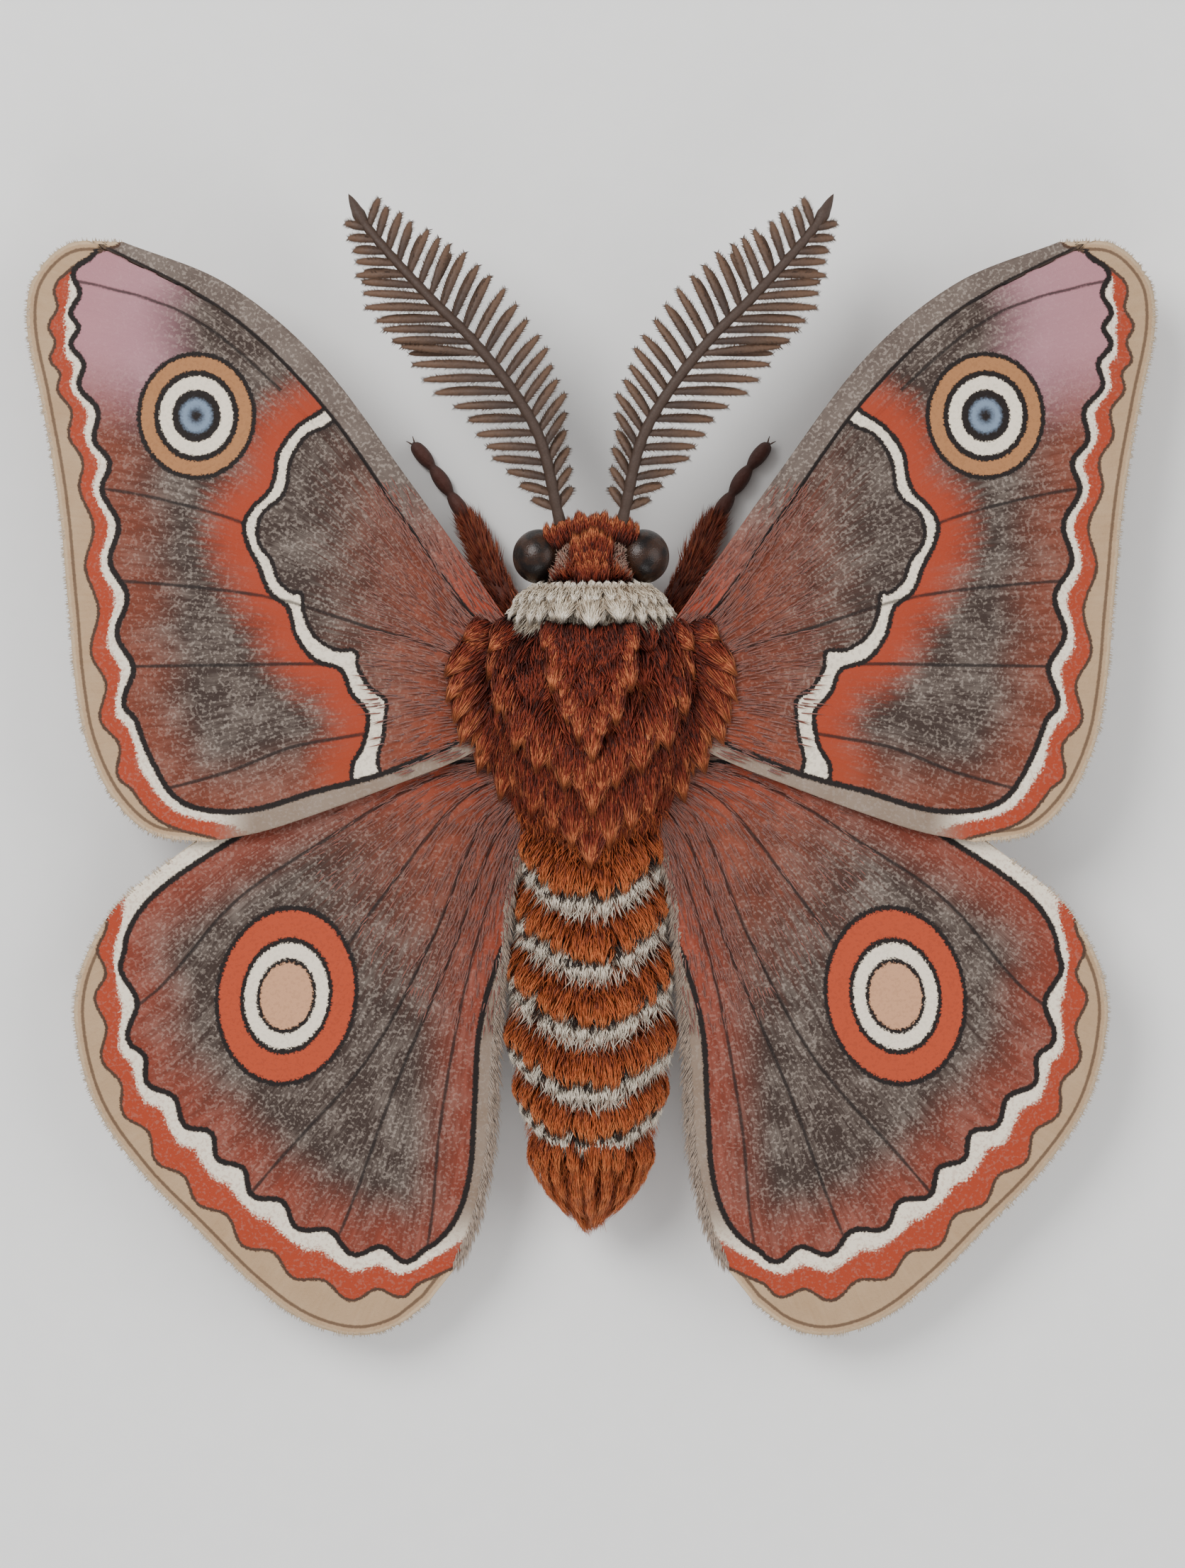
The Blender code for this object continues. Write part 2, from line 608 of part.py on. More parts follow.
def antenna():
    path = Path(SHAFT)
    inner, outer = [[(k / (len(reaches) - 1), reach) for k, reach in enumerate(reaches)]
                    for reaches in (INNER_REACH, OUTER_REACH)]
    pieces = []
    for k in range(BRANCHES):
        t = k / (BRANCHES - 1)
        share = mix(*BRANCH_SPAN, t)
        pieces.append(branch(path, share, -1, smooth_value(inner, t)[0]))
        pieces.append(branch(path, share, 1, smooth_value(outer, t)[0]))
    mesh = largest(combine(to_mesh(antenna_shaft()), pieces, "UNION"))
    add_node("antenna_left", mirrored(mesh), "antenna")
    add_node("antenna_right", mesh, "antenna")


def palp_mesh(grow=0.0):
    path = Path(PALP_PATH)
    return tube(path, lambda s: PALP_RADIUS * (1 - PALP_TAPER * s), PALP_SIDES, PALP_RINGS, grow)


# Coat

def vary(value):
    return value * (1 + rng.uniform(-UNEVEN, UNEVEN))


def surface_lock(form, root_y, tip_y, angle, lift, width, thickness):
    # A lock that lies along the form from its root to its tip
    normal = form.normal(root_y, angle)
    root = form.point(root_y, angle) - normal * SINK
    bend = form.point(mix(root_y, tip_y, BULGE["share"]), angle, lift * BULGE["of_lift"] + BULGE["more"])
    tip = form.point(tip_y, angle, lift)
    return lock(root, bend, tip, normal, width, thickness)


def lies_over(x, y):
    # The highest thing under the thorax coat at a place
    wings = forewing_z(x, y) if y > WING_SPLIT_Y else hindwing_z(x, y)
    tops = [form.top(x, y) for form in (thorax_form, abdomen_form)]
    return max([wings] + [top for top in tops if top is not None])


def thorax_lock(tip, tier):
    # A lock of the back that spreads from the neck towards its tip
    flow = (tip - Vector(COAT_FOCUS)).normalized()
    root = tip - flow * vary(tier["length"])
    root.y = min(root.y, SHOULDER_Y - COAT_ROOT["behind"])
    limit = COAT_ROOT["within"] * thorax_form.section(root.y)[0]
    root.x = clamp(root.x, -limit, limit)
    middle = (root + tip) / 2
    crest = max(lies_over(middle.x, middle.y), lies_over(root.x, root.y))
    points = [
        Vector((root.x, root.y, thorax_form.top(root.x, root.y) - SINK)),
        Vector((middle.x, middle.y, crest + tier["lift"] * COAT_MIDDLE_LIFT)),
        Vector((tip.x, tip.y, lies_over(tip.x, tip.y) + tier["lift"])),
    ]
    return lock(*points, (0.0, 0.0, 1.0), vary(tier["width"]), COAT_THICKNESS)


def thorax_coat():
    locks = []
    for tier in COAT_TIERS:
        tips = Path(tier["tips"])
        count = tier["locks"]
        for k in range(count):
            tip = tips.at((k + COAT_SCATTER + rng.uniform(-COAT_SCATTER, COAT_SCATTER)) / count)
            locks += [thorax_lock(Vector((tip.x * side, tip.y)), tier) for side in (-1, 1)]
        locks.append(thorax_lock(tips.at(1.0), tier))
    for y in UNDER_ROWS:
        for angle in UNDER_ANGLES:
            for side in (angle, 180 - angle):
                tip_y = max(y - vary(UNDER_LOCK["length"]), WAIST_Y + GAP)
                locks.append(surface_lock(thorax_form, y, tip_y, math.radians(side), UNDER_LOCK["lift"],
                                          vary(UNDER_LOCK["width"]), UNDER_LOCK["thickness"]))
    return locks


def ring_angles(first, last, count):
    return [math.radians(mix(first, last, k / (count - 1)) + rng.uniform(-ANGLE_SCATTER, ANGLE_SCATTER))
            for k in range(count)]


def collar_coat():
    return [surface_lock(collar_form, root_y, tip_y, angle, lift, vary(RUFF_LOCK["width"]),
                         RUFF_LOCK["thickness"])
            for root_y, tip_y, lift, count in RUFF_ROWS
            for angle in ring_angles(*RUFF_ANGLES, count)]


def head_coat():
    return [surface_lock(head_form, root_y, min(tip_y, HEAD_FRONT_Y), angle, lift,
                         vary(HEAD_LOCK["width"]), HEAD_LOCK["thickness"])
            for root_y, tip_y, lift, first, last, count in HEAD_ROWS
            for angle in ring_angles(first, last, count)]


def abdomen_coat():
    locks = []
    for back_y, side_y in BAND_ROWS:
        for k in range(BAND_LOCKS):
            turn = k + rng.uniform(-BAND_SCATTER, BAND_SCATTER)
            angle = 2 * math.pi * turn / BAND_LOCKS + math.pi / 2
            tip_y = mix(side_y, back_y, max(0.0, math.sin(angle)) ** 1.5)
            root_y = tip_y + vary(BAND_LOCK["length"])
            size = BAND_SIZE[0] + BAND_SIZE[1] * abdomen_form.section(root_y)[0]
            lift = mix(BAND_LOCK["lift"], BAND_LOCK["side_lift"], math.cos(angle) ** 4)
            locks.append(surface_lock(abdomen_form, root_y, tip_y, angle, lift,
                                      vary(BAND_LOCK["width"]) * size, BAND_LOCK["thickness"]))
    level = abdomen_form.section(TAIL["root_y"])[1]
    for k in range(TAIL["locks"]):
        angle = 2 * math.pi * k / TAIL["locks"]
        around = Vector((math.cos(angle), 0.0, math.sin(angle)))
        points = [Vector((0.0, TAIL[f"{part}_y"], level)) + around * TAIL[f"{part}_out"]
                  for part in ("root", "bend", "tip")]
        locks.append(lock(*points, around, TAIL["width"], TAIL["thickness"]))
    return locks


# Body nodes

def both_sides(bm):
    mesh = to_mesh(bm)
    return [mirrored(mesh), mesh]


def wing_slots():
    slots = []
    for plan, height in ((FOREWING, forewing_z), (HINDWING, hindwing_z)):
        slot = wing_slot(plan, height)
        slots += [mirrored(slot), slot]
    return slots


def head():
    core = form_mesh(head_form, BODY_SIDES, BODY_RINGS["head"])
    cut(core, (0.0, NECK_Y + GAP / 2, 0.0), (0.0, -1.0, 0.0))
    mesh = combine(to_mesh(core), head_coat(), "UNION")
    cutters = both_sides(eye_mesh(GAP)) + both_sides(antenna_shaft(GAP)) + both_sides(palp_mesh(GAP))
    add_node("head", largest(combine(mesh, cutters, "DIFFERENCE")), "head")
    left, right = both_sides(eye_mesh())
    add_node("eye_left", left, "eye")
    add_node("eye_right", right, "eye")
    left, right = both_sides(palp_mesh())
    add_node("palp_left", left, "palp")
    add_node("palp_right", right, "palp")


def between_planes(mesh, front_y, back_y):
    # The mesh with all that passes its neighbours' meeting planes cut off
    bm = bmesh.new()
    bm.from_mesh(mesh)
    cut(bm, (0.0, front_y, 0.0), (0.0, 1.0, 0.0))
    if back_y is not None:
        cut(bm, (0.0, back_y, 0.0), (0.0, -1.0, 0.0))
    return to_mesh(bm)


def collar():
    core = form_mesh(collar_form, BODY_SIDES, BODY_RINGS["collar"])
    mesh = combine(to_mesh(core), collar_coat(), "UNION")
    mesh = between_planes(mesh, NECK_Y - GAP / 2, SHOULDER_Y + GAP / 2)
    cutters = wing_slots() + both_sides(leg_mesh(LEGS["front"], GAP))
    add_node("collar", largest(combine(mesh, cutters, "DIFFERENCE")), "collar")


def thorax():
    core = form_mesh(thorax_form, BODY_SIDES, BODY_RINGS["thorax"])
    cut(core, (0.0, SHOULDER_Y - GAP / 2, 0.0), (0.0, 1.0, 0.0))
    cut(core, (0.0, WAIST_Y + GAP / 2, 0.0), (0.0, -1.0, 0.0))
    mesh = combine(to_mesh(core), thorax_coat(), "UNION")
    cutters = wing_slots()
    for rows in LEGS.values():
        cutters += both_sides(leg_mesh(rows, GAP))
    mesh = combine(mesh, cutters, "DIFFERENCE")
    add_node("thorax", largest(between_planes(mesh, SHOULDER_Y - GAP / 2, None)), "thorax")


def abdomen():
    core = form_mesh(abdomen_form, BODY_SIDES, BODY_RINGS["abdomen"])
    mesh = combine(to_mesh(core), abdomen_coat(), "UNION")
    add_node("abdomen", largest(between_planes(mesh, WAIST_Y - GAP / 2, None)), "abdomen")


# The moth

for old in list(bpy.data.objects):
    bpy.data.objects.remove(old)

moth = bpy.data.collections.new("cecropia_moth")
bpy.context.scene.collection.children.link(moth)
rng = random.Random(SEED)
thorax_form, collar_form, head_form, abdomen_form = Form(THORAX), Form(COLLAR), Form(HEAD), Form(ABDOMEN)

thorax()
collar()
head()
abdomen()
antenna()
wing("forewing", FOREWING, forewing_z, "forewing")
wing("hindwing", HINDWING, hindwing_z, "hindwing")
legs()
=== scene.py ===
# A cecropia moth, standing with its wings spread. Sizes are in millimetres until a mesh is made.
# The head points to +Y and the right wings to +X, and the floor is at Z = 0.
import json
import math

import bmesh
import bpy
import numpy as np
from mathutils import Matrix, Vector

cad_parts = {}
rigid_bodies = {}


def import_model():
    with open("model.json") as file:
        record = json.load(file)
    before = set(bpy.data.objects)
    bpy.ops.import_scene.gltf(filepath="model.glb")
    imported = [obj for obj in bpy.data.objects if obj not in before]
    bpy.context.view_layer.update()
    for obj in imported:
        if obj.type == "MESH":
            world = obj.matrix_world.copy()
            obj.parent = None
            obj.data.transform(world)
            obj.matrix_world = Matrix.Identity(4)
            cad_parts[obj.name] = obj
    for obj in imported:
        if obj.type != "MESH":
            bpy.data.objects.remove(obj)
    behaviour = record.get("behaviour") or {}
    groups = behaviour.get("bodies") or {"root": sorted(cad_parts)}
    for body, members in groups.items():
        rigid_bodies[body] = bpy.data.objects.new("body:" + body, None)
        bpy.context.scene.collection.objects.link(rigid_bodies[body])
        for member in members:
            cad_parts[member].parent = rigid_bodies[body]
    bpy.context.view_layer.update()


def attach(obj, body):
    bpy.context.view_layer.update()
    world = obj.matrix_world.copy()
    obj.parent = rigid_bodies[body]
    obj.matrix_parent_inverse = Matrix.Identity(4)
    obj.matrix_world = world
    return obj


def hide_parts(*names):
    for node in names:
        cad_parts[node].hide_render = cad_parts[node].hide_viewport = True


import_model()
mm = 0.001
rng = np.random.default_rng(11)
upward = np.array([0.0, 0.0, 1.0])
print("frame loaded")


# small helpers on arrays

def mixed(a, b, share):
    return a + (b - a) * share


def smoothStep(low, high, value):
    t = np.clip((value - low) / (high - low), 0, 1)
    return t * t * (3 - 2 * t)


def unit(v):
    return v / np.maximum(np.linalg.norm(v, axis=-1, keepdims=True), 1e-9)


def lifted(plan, z):
    # places in the plan at their heights
    return np.concatenate([plan, z[:, None]], 1)


def bilinear(table, i, j):
    # a table read between its rows and columns
    a, b = i.astype(int), np.minimum(j.astype(int), table.shape[1] - 2)
    u, v = i - a, j - b
    return ((table[a, b] * (1 - v) + table[a, b + 1] * v) * (1 - u)
            + (table[a + 1, b] * (1 - v) + table[a + 1, b + 1] * v) * u)


def within(begin, full, fade, end, value):
    # 0 outside begin and end, 1 between full and fade
    return smoothStep(begin, full, value) * (1 - smoothStep(fade, end, value))


def smoothRows(knots, values, at):
    # values given at the knots, read between them on a smooth curve
    knots, values = np.asarray(knots, float), np.asarray(values, float)
    at = np.clip(np.asarray(at, float), knots[0], knots[-1])
    last = len(knots) - 1
    i = np.clip(np.searchsorted(knots, at, "right") - 1, 0, last - 1)
    before, after = np.maximum(i - 1, 0), np.minimum(i + 2, last)
    step = (knots[i + 1] - knots[i])[..., None]
    t = ((at - knots[i]) / (knots[i + 1] - knots[i]))[..., None]
    m0 = (values[i + 1] - values[before]) / (knots[i + 1] - knots[before])[..., None] * step
    m1 = (values[after] - values[i]) / (knots[after] - knots[i])[..., None] * step
    return ((2 * t**3 - 3 * t**2 + 1) * values[i] + (t**3 - 2 * t**2 + t) * m0
            + (3 * t**2 - 2 * t**3) * values[i + 1] + (t**3 - t**2) * m1)


class Curve:
    # a smooth curve through a few places, read by its share of length

    def __init__(self, places, samples=700):
        places = np.array(places, float)
        knots = np.concatenate([[0], np.cumsum(np.linalg.norm(np.diff(places, axis=0), axis=1))])
        self.knots, self.length = knots / knots[-1], knots[-1]
        self.shares = np.linspace(0, 1, samples)
        self.places = smoothRows(knots, places, self.shares * self.length)

    def at(self, share):
        return np.stack([np.interp(share, self.shares, c) for c in self.places.T], -1)

    def along(self, share):
        return unit(self.at(np.minimum(share + 0.004, 1)) - self.at(np.maximum(share - 0.004, 0)))


def signedDistance(points, line, chunk=3000):
    # distance to a polyline, positive on its left
    found = np.empty(len(points))
    along = np.gradient(line, axis=0)
    for k in range(0, len(points), chunk):
        part = points[k:k + chunk]
        gap = part[:, None, :] - line[None, :, :]
        near = (gap**2).sum(-1).argmin(1)
        g, t = gap[np.arange(len(part)), near], along[near]
        side = t[:, 0] * g[:, 1] - t[:, 1] * g[:, 0]
        found[k:k + chunk] = np.sign(side) * np.linalg.norm(g, axis=1)
    return found


# shader maths: a socket that can be added, multiplied and mixed

class Value:
    def __init__(self, look, socket):
        self.look, self.socket = look, socket

    def math(self, operation, *others):
        return self.look.node("ShaderNodeMath", {"operation": operation},
                              {k: v for k, v in enumerate((self, *others))})

    def __add__(self, other):
        return self.math("ADD", other)

    __radd__ = __add__

    def __sub__(self, other):
        return self.math("SUBTRACT", other)

    def __rsub__(self, other):
        return self.look.node("ShaderNodeMath", {"operation": "SUBTRACT"}, {0: other, 1: self})

    def __mul__(self, other):
        return self.math("MULTIPLY", other)

    __rmul__ = __mul__

    def __truediv__(self, other):
        return self.math("DIVIDE", other)

    def size(self):
        return self.math("ABSOLUTE")

    def step(self, low, high):
        # 0 below low, 1 above high, smooth between
        return self.look.node("ShaderNodeMapRange", {"interpolation_type": "SMOOTHSTEP"},
                              {"Value": self, "From Min": low, "From Max": high}, "Result")

    def line(self, halfWidth, soft):
        # 1 near zero, 0 away from it
        return 1 - self.size().step(max(halfWidth - soft, 0), halfWidth + soft)


class Look:
    # a material whose nodes are written as expressions

    def __init__(self, name, roughness=0.7, **fixed):
        self.material = bpy.data.materials.new(name)
        self.material.use_nodes = True
        self.tree = self.material.node_tree
        self.shader = self.tree.nodes["Principled BSDF"]
        self.set("Roughness", roughness)
        for socket, value in fixed.items():
            self.set(socket.replace("_", " "), value)

    def node(self, kind, settings=None, values=None, out=0):
        made = self.tree.nodes.new(kind)
        for key, value in (settings or {}).items():
            setattr(made, key, value)
        for key, value in (values or {}).items():
            self.feed(made.inputs[key], value)
        return Value(self, made.outputs[out])

    def feed(self, socket, value):
        if isinstance(value, Value):
            self.tree.links.new(value.socket, socket)
        elif isinstance(value, tuple) and len(value) == 3 and socket.type == "RGBA":
            socket.default_value = (*value, 1.0)
        else:
            socket.default_value = value

    def set(self, socket, value):
        self.feed(self.shader.inputs[socket], value)

    def attribute(self, name):
        return self.node("ShaderNodeAttribute", {"attribute_name": name}, out="Fac")

    def place(self):
        return self.node("ShaderNodeTexCoord", out="Object")

    def noise(self, vector, size, detail=2.0, rough=0.5):
        # size is that of a blotch, in millimetres
        return self.node("ShaderNodeTexNoise", {}, {"Vector": vector, "Scale": 1 / (size * mm),
                                                    "Detail": detail, "Roughness": rough})

    def cells(self, vector, size):
        return self.node("ShaderNodeTexVoronoi", {}, {"Vector": vector, "Scale": 1 / (size * mm)}, "Distance")

    def mix(self, factor, a, b):
        return self.node("ShaderNodeMix", {"data_type": "RGBA"}, {0: factor, 6: a, 7: b}, 2)

    def shade(self, color, amount):
        # the color times a number
        return self.node("ShaderNodeVectorMath", {"operation": "SCALE"}, {0: color, "Scale": amount})

    def bump(self, height, distance, strength=1.0):
        self.set("Normal", self.node("ShaderNodeBump", {}, {"Height": height, "Distance": distance * mm,
                                                            "Strength": strength}))


# meshes

def placed(name, data):
    obj = bpy.data.objects.new(name, data)
    bpy.context.scene.collection.objects.link(obj)
    return obj


def finished(name, mesh, look, nodes=()):
    # one piece on the frame
    mesh.name = name
    mesh.materials.clear()
    mesh.materials.append(look.material)
    obj = placed(name, mesh)
    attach(obj, "root")
    if nodes:
        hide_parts(*nodes)


def finishedPair(name, kind, mesh, look, replacing=True):
    # a piece of the right side and its mirror on the left
    for side, made in (("right", mesh), ("left", mirrored(mesh))):
        finished(f"{name}_{side}_{kind}", made, look, [f"{name}_{side}"] if replacing else ())


def toMesh(bm):
    mesh = bpy.data.meshes.new("piece")
    bm.to_mesh(mesh)
    bm.free()
    mesh.shade_smooth()
    return mesh


def mirrored(mesh):
    bm = bmesh.new()
    bm.from_mesh(mesh)
    bm.transform(Matrix.Scale(-1, 4, (1, 0, 0)))
    bmesh.ops.reverse_faces(bm, faces=bm.faces)
    return toMesh(bm)


def joined(meshes):
    bm = bmesh.new()
    for mesh in meshes:
        bm.from_mesh(mesh)
    return toMesh(bm)


def addAttribute(mesh, name, values):
    made = mesh.attributes.get(name) or mesh.attributes.new(name, "FLOAT", "POINT")
    made.data.foreach_set("value", np.ascontiguousarray(values, np.float32).ravel())


def readAll(items, key, width=1, kind=float):
    found = np.empty(len(items) * width, kind)
    items.foreach_get(key, found)
    return found.reshape(-1, width) if width > 1 else found


def coordinates(mesh):
    return readAll(mesh.vertices, "co", 3)


def writeMap(layer, uv):
    layer.data.foreach_set("uv", uv.ravel().astype(np.float32))


def moveMap(mesh, low, high):
    # the piece's map squeezed into a rectangle
    layer = mesh.uv_layers["OFBake"]
    uv = np.clip(readAll(layer.data, "uv", 2, np.float32), 0, 1)
    writeMap(layer, np.array(low) + uv * (np.array(high) - np.array(low)))


def ballMesh(sides, rings, place):
    # a sphere's rings laid out by place(share from end to end, angle round), with faces outward
    bm = bmesh.new()
    bm.loops.layers.uv.new("OFBake")
    bmesh.ops.create_uvsphere(bm, u_segments=sides, v_segments=rings, radius=1.0, calc_uvs=True)
    co = np.array([v.co for v in bm.verts])
    share = np.arccos(np.clip(co[:, 2], -1, 1)) / np.pi
    made = place(share, np.arctan2(co[:, 1], co[:, 0])) * mm
    for v, p in zip(bm.verts, made):
        v.co = p
    if bm.calc_volume(signed=True) < 0:
        bmesh.ops.reverse_faces(bm, faces=bm.faces)
    return toMesh(bm)


def tubeMesh(curve, radius, sides, rings):
    # a round-ended tube; radius gives its radius at shares of the length
    def place(share, angle):
        middle, along = curve.at(share), curve.along(share)
        across = unit(np.cross(along, upward))
        up = np.cross(across, along)
        r = (radius(share) * np.sin(np.pi * np.clip(share * rings / 3, 0, 0.5))
             * np.sin(np.pi * np.clip((1 - share) * rings / 3, 0, 0.5)))[:, None]
        return middle + across * r * np.cos(angle)[:, None] + up * r * np.sin(angle)[:, None]

    return ballMesh(sides, rings, place)


# tufts: one tapered three-sided hair, repeated along many paths

def tuftTemplate(rings, sides=3):
    # a cone cut into rings; returns its shares, angles and faces
    bm = bmesh.new()
    bmesh.ops.create_cone(bm, cap_ends=True, cap_tris=False, segments=sides, radius1=1.0, radius2=0.0,
                          depth=1.0)
    bmesh.ops.translate(bm, verts=bm.verts, vec=(0, 0, 0.5))
    for cut in rings:
        bmesh.ops.bisect_plane(bm, geom=bm.verts[:] + bm.edges[:] + bm.faces[:], plane_co=(0, 0, cut),
                               plane_no=(0, 0, 1))
    bmesh.ops.remove_doubles(bm, verts=bm.verts, dist=1e-4)
    bmesh.ops.recalc_face_normals(bm, faces=bm.faces)
    bm.verts.index_update()
    share = np.array([v.co.z for v in bm.verts]).round(4)
    angle = np.array([math.atan2(v.co.y, v.co.x) for v in bm.verts])
    faces = [[v.index for v in f.verts] for f in bm.faces]
    bm.free()
    return share, angle, faces


hairTuft = tuftTemplate([0.45])
patchSize = 0.003  # of each tuft on its piece's flat map


def hairShape(s):
    # a hair's width at a share of its length: fullest near the root, drawn out to a point
    return 0.62 + 0.38 * math.sin(math.pi * min(1, s / 0.5 + 0.1)) if s < 0.4 else (1 - s)**0.6


def leafShape(s):
    return min(1.0, 0.5 + 1.3 * s) * math.sqrt(max(1 - s**6, 0.0))


def tuftMesh(template, path, up, width, thickness, marks, uvPlace, shape=hairShape):
    # path(share) gives every tuft's middle line, up its upper side, uvPlace its root on the unwrap
    share, angle, faces = template
    count, each = len(width), len(share)
    verts = np.empty((count, each, 3))
    for s in np.unique(share):
        middle = path(s)
        along = unit(path(min(s + 0.03, 1.0)) - path(max(s - 0.03, 0.0)))
        side = unit(np.cross(up, along))
        rise = np.cross(along, side)
        body = 0.0 if s >= 1 else shape(s)
        for k in np.flatnonzero(share == s):
            verts[:, k] = (middle + side * (width * body / 2 * math.cos(angle[k]))[:, None]
                           + rise * (thickness * body / 2 * math.sin(angle[k]))[:, None])
    mesh = bpy.data.meshes.new("tufts")
    mesh.vertices.add(count * each)
    mesh.vertices.foreach_set("co", (verts * mm).ravel())
    loops = np.concatenate(faces)
    totals = np.array([len(f) for f in faces])
    starts = np.concatenate([[0], np.cumsum(totals)[:-1]])
    mesh.loops.add(count * len(loops))
    mesh.loops.foreach_set("vertex_index", (loops[None, :] + np.arange(count)[:, None] * each).ravel())
    mesh.polygons.add(count * len(faces))
    mesh.polygons.foreach_set("loop_start",
                              (starts[None, :] + np.arange(count)[:, None] * len(loops)).ravel())
    mesh.update(calc_edges=True)
    # every side of a tuft has its own strip in the tuft's small patch
    spot = np.empty((len(loops), 2))
    for start, total in zip(starts, totals):
        corner = loops[start:start + total]
        turns = angle[corner]
        base = np.all(share[corner] == 0)
        around = np.unwrap(np.where(share[corner] >= 1, np.nan, turns))
        around = turns if base else np.where(np.isnan(around), np.nanmean(around), around)
        spot[start:start + total, 0] = 0.5 + around / (2.2 * np.pi)
        spot[start:start + total, 1] = share[corner] if not base else 0.02 + 0.1 * np.cos(turns)
    uv = uvPlace[:, None, :] + (spot[None] - 0.5) * patchSize
    writeMap(mesh.uv_layers.new(name="OFBake"), np.clip(uv, 0.001, 0.999))
    addAttribute(mesh, "share", np.tile(share, count))
    for name, values in marks.items():
        addAttribute(mesh, name, np.repeat(values, each))
    mesh.shade_smooth()
    return mesh


def bowed(root, bend, tip):
    # paths that run from root to tip over a bend
    return lambda s: root * (1 - s)**2 + bend * (2 * s * (1 - s)) + tip * s**2


# body: four rounded forms blended into one skin, as in the solids

bodyRows = {  # along the body, half width, level, rise above it, drop below it
    "thorax": [(-12.5, 0, 13, 0, 0), (-9, 7.6, 13, 6, 6), (-4, 10.4, 14.2, 7.2, 7), (2, 13, 15, 8.4, 8),
               (9.5, 13.6, 15, 8.6, 8), (16, 11.6, 15, 7.6, 6.8), (20.5, 7.6, 15, 5.6, 5.2), (22.5, 0, 15, 0, 0)],
    "collar": [(15.5, 0, 15, 0, 0), (18.6, 9.6, 15, 7, 6.2), (21.3, 8.4, 15, 6.6, 5.8), (24, 6.2, 15, 5.6, 5),
               (26, 0, 15, 0, 0)],
    "head": [(21.5, 0, 15, 0, 0), (25, 5.9, 15, 5.4, 5), (28, 6.2, 14.9, 5.6, 5.2), (30.4, 4.9, 14.6, 4.6, 4.5),
             (32, 0, 14.4, 0, 0)],
    "abdomen": [(-60.4, 0, 9.8, 0, 0), (-58, 3, 10.2, 3.2, 3.6), (-54, 5.4, 10.8, 5.4, 5.8),
                (-48, 7.2, 11.5, 6.9, 7.2), (-41, 8.6, 11.9, 7.9, 8), (-35.1, 9.6, 12, 8.5, 8.4),
                (-28.8, 9.3, 12, 8.3, 8), (-21.3, 8.6, 12.1, 7.8, 7.4), (-12, 7.7, 12.4, 7.2, 6.8),
                (-7.5, 6.9, 12.6, 6, 5.8), (-5, 0, 12.6, 0, 0)],
}
bodyAxis = [(-61, 9.8), (-48, 11.4), (-21, 12.1), (-9, 12.9), (2, 14.6), (20, 15), (32, 14.4)]
bodyEnds = (-60.4, 32.0)
backHalf = 16.0  # half the width over which the back's height is kept
# the abdomen's fringes: where their tips lie on the back and at the sides, and how far ahead of the tips
# the coat turns pale, dark and plain again
bandRows = [(-19.8, -14.2), (-28.1, -21.3), (-36.6, -29.6), (-44.7, -39.1), (-51.8, -46.8)]
bandEdges = ((0.6, 1.1), (3.0, 3.5), (4.4, 4.9))


def alongBody(y):
    # the share of the body's length, from the tail
    return (y - bodyEnds[0]) / (bodyEnds[1] - bodyEnds[0])


